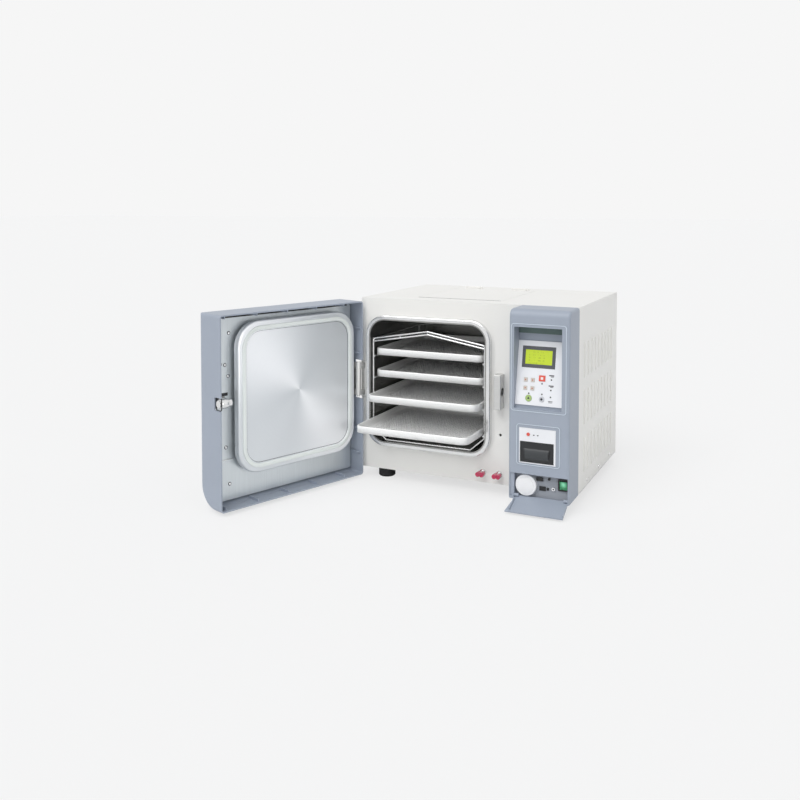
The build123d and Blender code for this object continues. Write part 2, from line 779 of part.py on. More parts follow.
# Drain taps: fixed chrome bodies and the crimson knobs that turn in them
with BuildPart() as drain_bodies:
    for inset in drain_insets:
        rod((left + inset, front, drain_z), drain_collar_radius, drain_collar, to_front)
        rod((left + inset, front - drain_collar, drain_z), drain_stem_radius + 2,
            drain_knob_start - drain_collar - stand_gap, to_front)
        rod((left + inset, front + 10, drain_z), drain_stem_radius + 2, 10, to_front)
        rod((left + inset, front + 5, drain_z), drain_stem_radius + shaft_gap, 5 + drain_knob_start,
            to_front, mode=Mode.SUBTRACT)
keep(drain_bodies, "drain_bodies")

for name, inset in zip(("drain_knob_left", "drain_knob_right"), drain_insets):
    knob_y = front - drain_knob_start
    with BuildPart() as drain_knob:
        with BuildSketch(upright(knob_y)):
            with Locations((left + inset, drain_z)):
                with GridLocations(drain_lobe_pitch, 0, 2, 1):
                    Circle(drain_lobe_radius)
                Rectangle(drain_lobe_pitch, drain_lobe_radius * 1.3)
        extrude(amount=drain_knob_depth)
        fillet(drain_knob.faces().sort_by(Axis.Y)[0].outer_wire().edges(), 1.2)
        rod((left + inset, front, drain_z), drain_stem_radius, drain_knob_start + 2, to_front)
        rod((left + inset, knob_y - drain_knob_depth, drain_z), drain_stem_radius, 1.5, to_front)
    keep(drain_knob, name)


# Door shell: a moulded tray, open towards the chamber, with a deep round at its foot
spindle_z = chamber_z
handle_place = left + handle_x
with BuildPart() as door_shell:
    add(case_body((door_left, door_right), (door_face, door_rim), (door_bottom, door_top),
                  door_head_round, door_foot_round, door_side_round))
    add(case_body((door_left + door_wall, door_right - door_wall),
                  (door_face + door_wall, door_rim), (door_bottom + door_wall, door_top - door_wall),
                  door_head_round - door_wall, door_foot_round - door_wall,
                  door_side_round - door_wall), mode=Mode.SUBTRACT)
    for x in [door_left + 55 + index * rib_pitch for index in range(rib_count)]:
        for z in ((door_bottom + 2, door_bottom + door_wall + rib_height),
                  (door_top - door_wall - rib_height, door_top - 2)):
            slab((x - rib_thickness / 2, x + rib_thickness / 2), (plate_y + 3, door_rim - 6), z)
    for z in (60.0, 120.0, 300.0, 360.0):
        slab((door_left + 2, door_left + door_wall + rib_height), (plate_y + 3, door_rim - 6),
             (z, z + rib_thickness))
    slab((door_right - door_wall - 1, door_right), (door_rim - 23, door_rim),
         (chamber_z - beam_height / 2, chamber_z + beam_height / 2), mode=Mode.SUBTRACT)
    slab((door_left, door_left + door_wall + 1), (door_rim - 25, door_rim),
         (bracket_low - 7, bracket_high + 7), mode=Mode.SUBTRACT)
    for x in (door_left + 33, door_right - 23):
        for z in (door_bottom + 62, door_top - 31):
            rod((x, door_face + 1, z), boss_radius, beam_y - door_face - 1, to_back)
    rod((handle_place, door_face + 1, spindle_z), handle_boss_radius,
        tower_depth - handle_boss_end - 1, to_back)
    rod((handle_place, door_face, spindle_z), handle_spindle_radius + shaft_gap,
        tower_depth - handle_boss_end, to_back, mode=Mode.SUBTRACT)
keep(door_shell, "door_shell", door_open)

# Inner plate of the door, which closes the shell behind the lid
slot_z = (chamber_z - shank_height / 2 - 1.5, chamber_z + shank_height / 2 + 1.5)
with BuildPart() as door_plate:
    with BuildSketch(upright(plate_y)):
        with Locations(((door_left + door_right) / 2, (door_bottom + door_top) / 2)):
            RectangleRounded(
                door_right - door_left - 2 * plate_margin,
                door_top - door_bottom - 4 * plate_margin, plate_margin,
            )
    extrude(amount=door_plate_sheet)
    rod((chamber_x, beam_y, chamber_z), spindle_radius + 2, door_plate_sheet, to_back,
        mode=Mode.SUBTRACT)
    slab((left + bolt_start - 5, door_right), (beam_y, plate_y), slot_z, mode=Mode.SUBTRACT)
    slab((door_left, left + 10.5), (beam_y, plate_y),
         (chamber_z - beam_height / 2 - 0.5, chamber_z + beam_height / 2 + 0.5),
         mode=Mode.SUBTRACT)
keep(door_plate, "door_plate", door_open)

# Beam across the door: it carries the lid, guides the bolt and ends in the hinge knuckle
beam_z = (chamber_z - beam_height / 2, chamber_z + beam_height / 2)
beam_back = beam_y - beam_depth
guide_z = (chamber_z - shank_height / 2 - stand_gap, chamber_z + shank_height / 2 + stand_gap)
arm_x = left - 4.5
with BuildPart() as door_beam:
    slab((arm_x, left + prong_start), (beam_back, beam_y), beam_z)
    slab((left + prong_start, door_right - door_wall - 0.5), (beam_back, beam_y),
         (beam_z[0], guide_z[0]))
    slab((left + prong_start, door_right - door_wall - 0.5), (beam_back, beam_y),
         (guide_z[1], beam_z[1]))
    slab((arm_x, left + 10), (beam_y, plate_y), beam_z)
    slab((arm_x, left + 24), (plate_y, plate_y + 2.5), (bracket_low, bracket_high))
    slab((arm_x, left - 0.5), (plate_y, front - 24), (bracket_low, bracket_high))
    with BuildSketch(level(chamber_z - knuckle_height / 2)):
        with Locations((pin_x, pin_y)):
            Circle(knuckle_radius)
            Rectangle(8.0, 12.0, align=(Align.CENTER, Align.MAX))
    extrude(amount=knuckle_height)
    rod((pin_x, pin_y, bracket_low), pin_radius + shaft_gap, bracket_height, mode=Mode.SUBTRACT)
    rod((chamber_x, beam_back, chamber_z), stud_radius, beam_depth, to_back, mode=Mode.SUBTRACT)
    slab((left + 8, left + 16), (plate_y, plate_y + 2.5), (chamber_z + 2, chamber_z + 20),
         mode=Mode.SUBTRACT)
keep(door_beam, "door_beam", door_open)

# Lid of the chamber: a pressed plate with a groove for the seal and a sunk middle
lid_face = front - lid_stand
lid_rear = lid_face - lid_thickness
seal_outer = flange_outer - 2.0
seal_corner = seal_outer / 2 - chamber_opening / 2 + chamber_corner
with BuildPart() as lid_plate:
    with BuildSketch(upright(lid_face)):
        with Locations((chamber_x, chamber_z)):
            RectangleRounded(lid_size, lid_size, lid_corner)
    extrude(amount=lid_thickness)
    fillet(lid_plate.faces().filter_by(Axis.Y).edges(), lid_round)
    with BuildSketch(upright(lid_face)):
        with Locations((chamber_x, chamber_z)):
            RectangleRounded(seal_outer, seal_outer, seal_corner)
            RectangleRounded(seal_outer - 2 * seal_width, seal_outer - 2 * seal_width,
                             seal_corner - seal_width, mode=Mode.SUBTRACT)
    extrude(amount=seal_depth, mode=Mode.SUBTRACT)
    with BuildSketch(upright(lid_face)):
        with Locations((chamber_x, chamber_z)):
            RectangleRounded(panel_size, panel_size, chamber_corner)
    extrude(amount=panel_sink, mode=Mode.SUBTRACT)
keep(lid_plate, "lid_plate", door_open)

with BuildPart() as lid_gasket:
    with BuildSketch(upright(lid_face + seal_proud)):
        with Locations((chamber_x, chamber_z)):
            RectangleRounded(seal_outer, seal_outer, seal_corner)
            RectangleRounded(seal_outer - 2 * seal_width, seal_outer - 2 * seal_width,
                             seal_corner - seal_width, mode=Mode.SUBTRACT)
    extrude(amount=seal_proud + seal_depth)
    fillet(lid_gasket.faces().sort_by(Axis.Y)[-1].edges(), 2.0)
keep(lid_gasket, "lid_gasket", door_open)

# Spindle that bolts the lid to the beam
with BuildPart() as lid_spindle:
    rod((chamber_x, beam_y, chamber_z), spindle_radius, lid_rear - beam_y, to_back)
    rod((chamber_x, beam_back - spindle_nut_height - 2, chamber_z), stud_radius,
        beam_depth + spindle_nut_height + 2, to_back)
    with BuildSketch(upright(beam_back)):
        with Locations((chamber_x, chamber_z)):
            RegularPolygon(spindle_nut_radius, 6)
    extrude(amount=spindle_nut_height)
keep(lid_spindle, "lid_spindle", door_open)

# Handle on the outside of the door: lever, spindle, crank disc and crank pin
crank_reach = bolt_travel / 2
hub_back = door_face - stand_gap
disc_front = front - handle_boss_end + stand_gap
disc_back = disc_front + crank_disc_thickness
yoke_front = beam_back - stand_gap - yoke_thickness
with BuildPart() as door_handle:
    rod((handle_place, hub_back, spindle_z), handle_hub_radius, handle_hub_height, to_front)
    with BuildSketch(upright(hub_back - handle_hub_height + 4)):
        with Locations((handle_place, spindle_z)):
            Circle(handle_hub_radius)
        with Locations((handle_place, spindle_z - handle_reach + handle_width / 2)):
            Circle(handle_width / 2)
        make_hull()
    extrude(amount=handle_thickness)
    fillet(door_handle.faces().sort_by(Axis.Y)[0].outer_wire().edges(), 3.0)
    rod((handle_place, hub_back, spindle_z), handle_spindle_radius, disc_front - hub_back, to_back)
    rod((handle_place, disc_front, spindle_z), crank_disc_radius, crank_disc_thickness, to_back)
    rod((handle_place + crank_reach, disc_back, spindle_z - crank_reach), crank_pin_radius,
        yoke_front + yoke_thickness - disc_back, to_back)
keep(door_handle, "door_handle", door_open)

# Latch bolt: round bolt, shank between the prongs of the beam, and the yoke round the crank pin
with BuildPart() as latch_bolt:
    bolt_x = left + bolt_start
    rod((bolt_x, bolt_y, chamber_z), bolt_radius, bolt_length, to_right)
    fillet(latch_bolt.edges().sort_by(Axis.X)[0], 2.0)
    shank_x = (left + shank_start, left + shank_start + shank_width)
    shank_z = (chamber_z - shank_height / 2, chamber_z + shank_height / 2)
    slab(shank_x, (beam_back - stand_gap, bolt_y), shank_z)
    slab((handle_place - crank_reach, shank_x[1]), (yoke_front, yoke_front + yoke_thickness),
         (chamber_z - yoke_height / 2, chamber_z + yoke_height / 2))
    with BuildSketch(upright(yoke_front)):
        with Locations((handle_place + crank_reach, chamber_z - crank_reach - 2)):
            SlotOverall(10.0 + 2 * crank_pin_radius, 2 * (crank_pin_radius + crank_slot_gap),
                        rotation=90)
    extrude(amount=-yoke_thickness, mode=Mode.SUBTRACT)
keep(latch_bolt, "latch_bolt", door_open)

# Control tower: a moulded case, open at the back, with the well, printer opening and bay
well_x = (tower_left + well_inset, tower_left + well_inset + well_width)
fascia_lean = niche_depth - fascia_bottom_depth
tilt = atan2(fascia_lean, fascia_top - fascia_bottom)
slope = fascia_lean / (fascia_top - fascia_bottom)
fascia_reach = hypot(fascia_lean, fascia_top - fascia_bottom)
fascia_y = tower_face + (niche_depth + fascia_bottom_depth) / 2
fascia_z = (fascia_top + fascia_bottom) / 2
well_back = tower_face + niche_depth + fascia_thickness
fascia_plane = Plane(
    origin=(sum(well_x) / 2, fascia_y, fascia_z), x_dir=(1, 0, 0),
    z_dir=(0, -cos(tilt), sin(tilt)),
)
fascia_back = fascia_plane.offset(-fascia_thickness)
fascia_axis = Axis(fascia_plane.origin, fascia_plane.z_dir)
shelf_z = fascia_top + 1.5
printer_x = (tower_left + printer_inset, tower_left + printer_inset + printer_width)
printer_z = (printer_bottom, printer_bottom + printer_height)
bay_x = (tower_left + cheek_width, right - tower_wall)
bay_y = tower_face + bay_depth
flap_pin = (front - flap_pin_depth, flap_pin_height)
tower_floor = floor + tower_wall


def seat_at(z):
    """Depth of the faceplate's seat at height z."""
    return fascia_back.origin.Y + slope * (z - fascia_back.origin.Z)


with BuildPart() as tower_bezel:
    add(case_body((tower_left, right), (tower_face, front), (floor, roof), tower_head_round, 0,
                  tower_side_round))
    add(case_body((tower_left + tower_wall, right - tower_wall), (tower_face + tower_wall, front),
                  (floor + tower_wall, roof - tower_wall), tower_head_round - tower_wall, 0,
                  tower_side_round - tower_wall), mode=Mode.SUBTRACT)
    slab((well_x[0] - tub_wall, well_x[1] + tub_wall),
         (tower_face + tower_wall - 1, well_back + tub_wall),
         (well_bottom - tub_wall, well_top + tub_wall))
    with BuildSketch(across(well_x[0])):
        with BuildLine():
            Polyline(
                (tower_face - 1, well_bottom), (tower_face - 1, well_top), (well_back, well_top),
                (well_back, shelf_z), (seat_at(shelf_z), shelf_z),
                (seat_at(well_bottom), well_bottom), close=True,
            )
        make_face()
    extrude(amount=well_width, mode=Mode.SUBTRACT)
    with BuildSketch(across(well_x[0])):
        with BuildLine():
            Polyline(
                (seat_at(shelf_z - tub_wall) + tub_wall, shelf_z - tub_wall),
                (well_back + 2 * tub_wall, shelf_z - tub_wall),
                (well_back + 2 * tub_wall, well_bottom),
                (seat_at(well_bottom) + tub_wall, well_bottom), close=True,
            )
        make_face()
    extrude(amount=well_width, mode=Mode.SUBTRACT)
    with BuildSketch(fascia_plane):
        Rectangle(*window_size)
    extrude(amount=-4 * fascia_thickness, mode=Mode.SUBTRACT)
    slab((printer_x[0] - stand_gap, printer_x[1] + stand_gap), (tower_face, tower_face + 4),
         (printer_z[0] - stand_gap, printer_z[1] + stand_gap), mode=Mode.SUBTRACT)
    for inset, low, width, height in (well_bead, printer_bead):
        with BuildSketch(upright(tower_face)):
            with Locations((tower_left + inset + width / 2, low + height / 2)):
                RectangleRounded(width, height, bead_corner)
                RectangleRounded(width - 2 * bead_width, height - 2 * bead_width,
                                 bead_corner - bead_width, mode=Mode.SUBTRACT)
        extrude(amount=bead_height)
    slab((tower_left + tower_wall - 1, bay_x[0]), (tower_face + tower_wall - 1, bay_y - bay_plate),
         (tower_floor - 1, bay_top))
    slab((tower_left + tower_wall - 1, right - tower_wall + 1),
         (tower_face + tower_wall - 1, bay_y - bay_plate), (bay_top, bay_top + tub_wall))
    slab((tower_left + tower_wall, bay_x[1]), (tower_face, tower_face + tower_wall),
         (flap_recess, bay_top), mode=Mode.SUBTRACT)
    slab(bay_x, (tower_face, tower_face + tower_wall + 1), (floor, flap_recess),
         mode=Mode.SUBTRACT)
    slab(bay_x, (tower_face, tower_face + bay_slot), (floor, tower_floor), mode=Mode.SUBTRACT)
    slab(bay_x, (tower_face + tower_wall, bay_y - bay_plate), (tower_floor, bay_top),
         mode=Mode.SUBTRACT)
    rod((bay_x[0] - tower_wall, *flap_pin), flap_pin_radius + shaft_gap, tower_wall, to_right,
        mode=Mode.SUBTRACT)
    rod((bay_x[1], *flap_pin), flap_pin_radius + shaft_gap, tower_wall - 1, to_right,
        mode=Mode.SUBTRACT)
keep(tower_bezel, "tower_bezel")

# Faceplate in the well, with holes for the display, the keys and the lamps
with BuildPart() as faceplate:
    with BuildSketch(fascia_plane):
        Rectangle(well_width - 2 * stand_gap, fascia_reach)
        with Locations(display_centre):
            Rectangle(*display_frame_size, mode=Mode.SUBTRACT)
        with Locations(*small_keys.values()):
            Rectangle(key_size + 2 * key_gap, key_size + 2 * key_gap, mode=Mode.SUBTRACT)
        with Locations(stop_key_centre):
            Rectangle(stop_key_size[0] + 2 * key_gap, stop_key_size[1] + 2 * key_gap,
                      mode=Mode.SUBTRACT)
        for x, y, radius in round_keys.values():
            with Locations((x, y)):
                Circle(radius + 2 * key_gap, mode=Mode.SUBTRACT)
        with Locations(*lamp_centres):
            Circle(lamp_radius, mode=Mode.SUBTRACT)
    extrude(amount=-fascia_thickness)
keep(faceplate, "faceplate")

# Display: a framed module and the glass in its recess
with BuildPart() as display_frame:
    with BuildSketch(fascia_plane.offset(display_proud)):
        with Locations(display_centre):
            Rectangle(*display_frame_size)
    extrude(amount=-display_depth)
    with BuildSketch(fascia_plane.offset(display_proud)):
        with Locations(display_centre):
            Rectangle(*glass_size)
    extrude(amount=-glass_sink - glass_thickness, mode=Mode.SUBTRACT)
    chamfer(display_frame.faces().sort_by(fascia_axis)[-1].outer_wire().edges(), 0.6)
keep(display_frame, "display_frame")

with BuildPart() as display_glass:
    with BuildSketch(fascia_plane.offset(display_proud - glass_sink)):
        with Locations(display_centre):
            Rectangle(*glass_size)
    extrude(amount=-glass_thickness)
keep(display_glass, "display_glass")

# Status lamps
with BuildPart() as status_lamps:
    with BuildSketch(fascia_plane.offset(lamp_proud)):
        with Locations(*lamp_centres):
            Circle(lamp_radius)
    extrude(amount=-lamp_length)
keep(status_lamps, "status_lamps")


def key_cap(profile, lip, node):
    """A key: the cap that shows, and the wider lip behind the plate that keeps it in."""
    with BuildPart() as key:
        with BuildSketch(fascia_plane.offset(key_proud)):
            add(profile)
        extrude(amount=-key_proud - fascia_thickness)
        front_face = key.faces().sort_by(fascia_axis)[-1]
        chamfer(front_face.edges(), key_chamfer)
        with BuildSketch(fascia_back):
            add(lip)
        extrude(amount=-key_lip)
    keep(key, node)


for node, centre in small_keys.items():
    with BuildSketch() as square:
        with Locations(centre):
            RectangleRounded(key_size, key_size, 1.0)
    with BuildSketch() as square_lip:
        with Locations(centre):
            Rectangle(key_size + 2 * key_lip, key_size + 2 * key_lip)
    key_cap(square.sketch, square_lip.sketch, node)
for node, (x, y, radius) in round_keys.items():
    with BuildSketch() as disc:
        with Locations((x, y)):
            Circle(radius)
    with BuildSketch() as disc_lip:
        with Locations((x, y)):
            Circle(radius + key_lip)
    key_cap(disc.sketch, disc_lip.sketch, node)
with BuildSketch() as oblong:
    with Locations(stop_key_centre):
        RectangleRounded(*stop_key_size, 1.5)
with BuildSketch() as oblong_lip:
    with Locations(stop_key_centre):
        Rectangle(stop_key_size[0] + 2 * key_lip, stop_key_size[1] + 2 * key_lip)
key_cap(oblong.sketch, oblong_lip.sketch, "stop_key")

# Panel printer: housing, hinged cover, paper roll and feed key
printer_face = tower_face - printer_proud
printer_back = printer_face + printer_depth
paper_x = (printer_x[0] + printer_rim, printer_x[1] - cover_right_rim)
paper_z = (printer_z[0] + printer_rim, printer_z[0] + printer_rim + cover_height + 2 * stand_gap)
cover_pin = (printer_face + cover_barrel, paper_z[0] + cover_barrel + stand_gap)
roll_centre = (printer_back - printer_rim - roll_radius - 2, (paper_z[0] + paper_z[1]) / 2)
feed_key_place = (printer_x[0] + feed_key_inset, printer_z[1] - feed_key_drop)
with BuildPart() as printer_body:
    slab(printer_x, (printer_face, printer_back), printer_z)
    slab(paper_x, (printer_face, printer_back - printer_rim), paper_z, mode=Mode.SUBTRACT)
    slab((paper_x[0], printer_x[1] - printer_rim), (printer_face + printer_rim, printer_back),
         (paper_z[1] + printer_rim, printer_z[1] - printer_rim), mode=Mode.SUBTRACT)
    rod((feed_key_place[0], printer_face, feed_key_place[1]), feed_key_radius + 2 * key_gap,
        printer_rim, to_back, mode=Mode.SUBTRACT)
    for centre, radius in ((cover_pin, cover_pin_radius), (roll_centre, roll_spindle)):
        rod((paper_x[0] - 1.2, *centre), radius + shaft_gap, paper_x[1] - paper_x[0] + 2.4,
            to_right, mode=Mode.SUBTRACT)
keep(printer_body, "printer_body")

cover_x = (paper_x[0] + stand_gap, paper_x[1] - stand_gap)
with BuildPart() as printer_cover:
    with BuildSketch(across(cover_x[0])):
        with Locations(cover_pin):
            Circle(cover_barrel)
        with Locations((cover_pin[0], (cover_pin[1] + paper_z[1] - stand_gap) / 2)):
            Rectangle(2 * cover_barrel, paper_z[1] - stand_gap - cover_pin[1])
    extrude(amount=cover_x[1] - cover_x[0])
    bulge_x = (cover_x[0] + 8.0, cover_x[1] - 10.0)
    with BuildSketch(across(bulge_x[0])):
        with BuildLine():
            bulge_low = (printer_face, paper_z[0] + 9.0)
            bulge_high = (printer_face, paper_z[0] + 30.0)
            bulge_crown = (printer_face - cover_bulge, paper_z[0] + 19.5)
            ThreePointArc(bulge_low, bulge_crown, bulge_high)
            Line(bulge_high, bulge_low)
        make_face()
    extrude(amount=bulge_x[1] - bulge_x[0])
    rod((paper_x[0] - 1.0, *cover_pin), cover_pin_radius, paper_x[1] - paper_x[0] + 2.0, to_right)
keep(printer_cover, "printer_cover")

with BuildPart() as paper_roll:
    roll_x = (paper_x[0] + paper_x[1] - roll_length) / 2
    rod((roll_x, *roll_centre), roll_radius, roll_length, to_right)
    rod((paper_x[0] - 1.0, *roll_centre), roll_spindle, paper_x[1] - paper_x[0] + 2.0, to_right)
keep(paper_roll, "paper_roll")

with BuildPart() as feed_key:
    rod((feed_key_place[0], printer_face - key_proud, feed_key_place[1]), feed_key_radius,
        key_proud + printer_rim, to_back)
    chamfer(feed_key.edges().group_by(Axis.Y)[0], key_chamfer)
    rod((feed_key_place[0], printer_face + printer_rim, feed_key_place[1]),
        feed_key_radius + key_lip, key_lip, to_back)
keep(feed_key, "feed_key")

# Service bay: back plate, air filter, sockets, rocker frame, rocker and the drop-down flap
rocker_x = tower_left + rocker_centre[0]
rocker_z = rocker_centre[1]
rocker_pin_y = bay_y - bay_plate
frame_front = bay_y - bay_plate - rocker_frame_proud
frame_body = (rocker_frame_size[0] - 3, rocker_frame_size[1] - 3)
with BuildPart() as service_plate:
    slab(bay_x, (bay_y - bay_plate, bay_y), (bay_bottom, bay_top + tower_wall))
    with BuildSketch(upright(bay_y)):
        with Locations((rocker_x, rocker_z)):
            Rectangle(*frame_body)
    extrude(amount=bay_plate, mode=Mode.SUBTRACT)
keep(service_plate, "service_plate")

with BuildPart() as air_filter:
    rod((tower_left + filter_centre[0], bay_y - bay_plate, filter_centre[1]), filter_radius,
        filter_depth, to_front)
    fillet(air_filter.faces().sort_by(Axis.Y)[0].edges(), filter_round)
keep(air_filter, "air_filter")

with BuildPart() as service_ports:
    with BuildSketch(upright(frame_front)):
        with Locations((rocker_x, rocker_z)):
            Rectangle(*rocker_frame_size)
            Rectangle(*rocker_opening, mode=Mode.SUBTRACT)
    extrude(amount=-rocker_frame_proud)
    with BuildSketch(upright(bay_y - bay_plate)):
        with Locations((rocker_x, rocker_z)):
            Rectangle(*frame_body)
    extrude(amount=rocker_frame_proud - rocker_frame_depth)
    with BuildSketch(upright(frame_front)):
        with Locations((rocker_x, rocker_z)):
            Rectangle(*rocker_opening)
    extrude(amount=2 - rocker_frame_depth, mode=Mode.SUBTRACT)
    rod((rocker_x - rocker_opening[0] / 2 - 1, rocker_pin_y, rocker_z),
        rocker_pin_radius + shaft_gap, rocker_opening[0] + 2, to_right, mode=Mode.SUBTRACT)
    for x, z, width, height in port_boxes:
        slab((tower_left + x - width / 2, tower_left + x + width / 2),
             (bay_y - bay_plate - port_proud, bay_y - bay_plate), (z - height / 2, z + height / 2))
    for x, z, radius in port_discs:
        rod((tower_left + x, bay_y - bay_plate, z), radius, port_proud, to_front)
keep(service_ports, "service_ports")

rocker_rest = Location((0, rocker_pin_y, rocker_z), (rocker_throw / 2, 0, 0))
with BuildPart() as power_rocker:
    with BuildSketch(across(rocker_x - rocker_size[0] / 2)):
        with BuildLine():
            half = rocker_size[1] / 2
            Polyline((-3.5, half), (-2.4, 0), (-3.5, -half), (1.5, -half + 3), (3.0, 0),
                     (1.5, half - 3), close=True)
        make_face()
    extrude(amount=rocker_size[0])
    rod((rocker_x - rocker_opening[0] / 2 - 0.8, 0, 0), rocker_pin_radius,
        rocker_opening[0] + 1.6, to_right)
keep(power_rocker, "power_rocker", rocker_rest)

flap_open = Location((0, *flap_pin), (flap_rest_angle, 0, 0)) * Location((0, -flap_pin[0],
                                                                          -flap_pin[1]))
flap_x = (bay_x[0] + stand_gap, bay_x[1] - stand_gap)
flap_rear = tower_face + flap_thickness
with BuildPart() as service_flap:
    with BuildSketch(upright(tower_face)):
        with BuildLine():
            Polyline(
                (flap_x[0], flap_foot), (flap_x[0], flap_shoulder),
                (tower_left + tower_wall + 2 * stand_gap, bay_top - stand_gap),
                (flap_x[1], bay_top - stand_gap), (flap_x[1], flap_foot), close=True,
            )
        make_face()
    extrude(amount=-flap_thickness)
    for x in (flap_x[0], flap_x[1] - flap_rib_thickness):
        slab((x, x + flap_rib_thickness), (flap_rear, flap_rear + flap_rib),
             (flap_shoulder, bay_top - 6))
    for x in (flap_x[0], flap_x[1] - flap_barrel_length):
        slab((x, x + flap_barrel_length), (flap_rear, flap_pin[0]), (flap_foot, flap_pin[1] + 2))
        rod((x, *flap_pin), flap_barrel, flap_barrel_length, to_right)
    rod((flap_x[0] - tower_wall + 0.6, *flap_pin), flap_pin_radius,
        tower_wall - 0.6 + flap_barrel_length, to_right)
    rod((flap_x[1] - flap_barrel_length, *flap_pin), flap_pin_radius,
        flap_barrel_length + tower_wall - 1.3, to_right)
keep(service_flap, "service_flap", flap_open)

# Wire rack: gabled front and rear frames, skids, shelf runners and side rails
post_inset = rack_side_gap + wire / 2
post_x = (chamber_x - chamber_opening / 2 + post_inset,
          chamber_x + chamber_opening / 2 - post_inset)
skid_z = chamber_z - chamber_opening / 2 + stand_gap + wire / 2
skid_x = (post_x[0] + rack_bevel, post_x[1] - rack_bevel)
rack_y = (front + rack_front, front + rack_front + rack_depth)
with BuildPart() as tray_rack:
    for y in rack_y:
        with BuildLine(upright(y)) as frame_path:
            FilletPolyline(
                (skid_x[1], skid_z), (post_x[1], skid_z + rack_bevel_rise),
                (post_x[1], rack_shoulder), (chamber_x, rack_ridge), (post_x[0], rack_shoulder),
                (post_x[0], skid_z + rack_bevel_rise), (skid_x[0], skid_z),
                radius=rack_bend, close=True,
            )
        with BuildSketch(frame_path.line ^ 0.0):
            Circle(wire / 2)
        sweep()
    with BuildLine(upright(rack_y[0])) as gable_path:
        FilletPolyline(
            (post_x[0], rack_shoulder - rack_second_wire),
            (chamber_x, rack_ridge - rack_second_wire),
            (post_x[1], rack_shoulder - rack_second_wire), radius=rack_bend,
        )
    with BuildSketch(gable_path.line ^ 0.0):
        Circle(wire / 2)
    sweep()
    for x in skid_x:
        rod((x, rack_y[0], skid_z), wire / 2, rack_depth, to_back)
    for x in post_x:
        rod((x, rack_y[0], rack_shoulder), wire / 2, rack_depth, to_back)
    for base in tray_levels:
        for x in (post_x[0] + wire * 0.75, post_x[1] - wire * 0.75):
            rod((x, rack_y[0], base - slide_gap - wire / 2), wire / 2, rack_depth, to_back)
keep(tray_rack, "tray_rack")

# Trays, each with a rolled rim; the lower two are drawn out
for number, (base, pull) in enumerate(zip(tray_levels, tray_pulls), start=1):
    tray_y = front - tray_front - pull
    with BuildPart() as tray:
        with BuildSketch(level(base)):
            with Locations((chamber_x, tray_y + tray_depth / 2)):
                RectangleRounded(tray_width, tray_depth, tray_corner)
        extrude(amount=tray_height)
        fillet(tray.faces().sort_by(Axis.Z)[0].edges(), 2.0)
        offset(amount=-tray_sheet, openings=tray.faces().sort_by(Axis.Z)[-1])
        with BuildSketch(level(base + tray_height - tray_rim_height)):
            with Locations((chamber_x, tray_y + tray_depth / 2)):
                RectangleRounded(tray_width, tray_depth, tray_corner)
                RectangleRounded(tray_width - 2 * tray_rim, tray_depth - 2 * tray_rim,
                                 tray_corner - tray_rim, mode=Mode.SUBTRACT)
        extrude(amount=tray_rim_height)
    keep(tray, f"tray_{number}")
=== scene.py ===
from math import atan2, pi, radians

import bmesh
import bpy
from mathutils import Matrix, Vector


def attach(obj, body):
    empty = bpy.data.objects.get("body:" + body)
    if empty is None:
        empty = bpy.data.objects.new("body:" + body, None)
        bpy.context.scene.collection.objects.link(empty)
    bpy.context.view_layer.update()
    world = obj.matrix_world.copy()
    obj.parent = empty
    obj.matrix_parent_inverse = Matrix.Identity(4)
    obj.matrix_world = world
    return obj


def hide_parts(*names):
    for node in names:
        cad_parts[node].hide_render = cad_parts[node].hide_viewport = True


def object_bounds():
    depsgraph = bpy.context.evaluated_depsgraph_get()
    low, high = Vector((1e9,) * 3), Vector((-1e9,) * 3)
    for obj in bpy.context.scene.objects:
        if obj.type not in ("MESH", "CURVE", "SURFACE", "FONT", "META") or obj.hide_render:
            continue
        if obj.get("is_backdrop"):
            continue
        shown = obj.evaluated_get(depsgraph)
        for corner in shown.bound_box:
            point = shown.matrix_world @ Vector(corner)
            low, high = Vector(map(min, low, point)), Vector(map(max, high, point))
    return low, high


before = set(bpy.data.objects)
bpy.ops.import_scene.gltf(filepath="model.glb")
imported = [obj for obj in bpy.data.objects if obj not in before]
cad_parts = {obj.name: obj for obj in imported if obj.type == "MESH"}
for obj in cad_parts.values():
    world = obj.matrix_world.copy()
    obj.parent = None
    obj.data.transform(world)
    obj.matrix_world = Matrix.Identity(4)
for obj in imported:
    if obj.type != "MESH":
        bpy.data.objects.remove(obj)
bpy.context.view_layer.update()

# Places
# Millimetres from the cabinet's left side (u), its front panel (v, towards the back) and the
# bench (z) are turned into the frame's metres, whose origin is the sole of the front left foot.
MILLIMETRES = 1000
FOOT_INSET_U = 52
FOOT_INSET_V = 32
CABINET_WIDTH = 530
ROOF = 434
DOOR_PIN = (-3, -14)
DOOR_OPEN = radians(-110)
CHAMBER_CENTRE = (173.5, 238)
TOWER_LEFT = 397
TOWER_FACE = -79
ROCKER_PLACE = (514, -62, 63)
COVER_PLACE = (459.5, TOWER_FACE, 125)
DISPLAY_PLACE = (-5.5, 34)


def mm(value):
    """Millimetres as metres."""
    return value / MILLIMETRES


def at(u, v, z):
    """A place on the cabinet, in metres."""
    return Vector((mm(u - FOOT_INSET_U), mm(v - FOOT_INSET_V), mm(z)))


def from_cad(u, v, z):
    """A place on the cabinet, in millimetres from the frame's origin."""
    return (u - FOOT_INSET_U, v - FOOT_INSET_V, z)


pin_place = at(*DOOR_PIN, 0)
door_swing = (Matrix.Translation(pin_place) @ Matrix.Rotation(DOOR_OPEN, 4, "Z")
              @ Matrix.Translation(-pin_place))

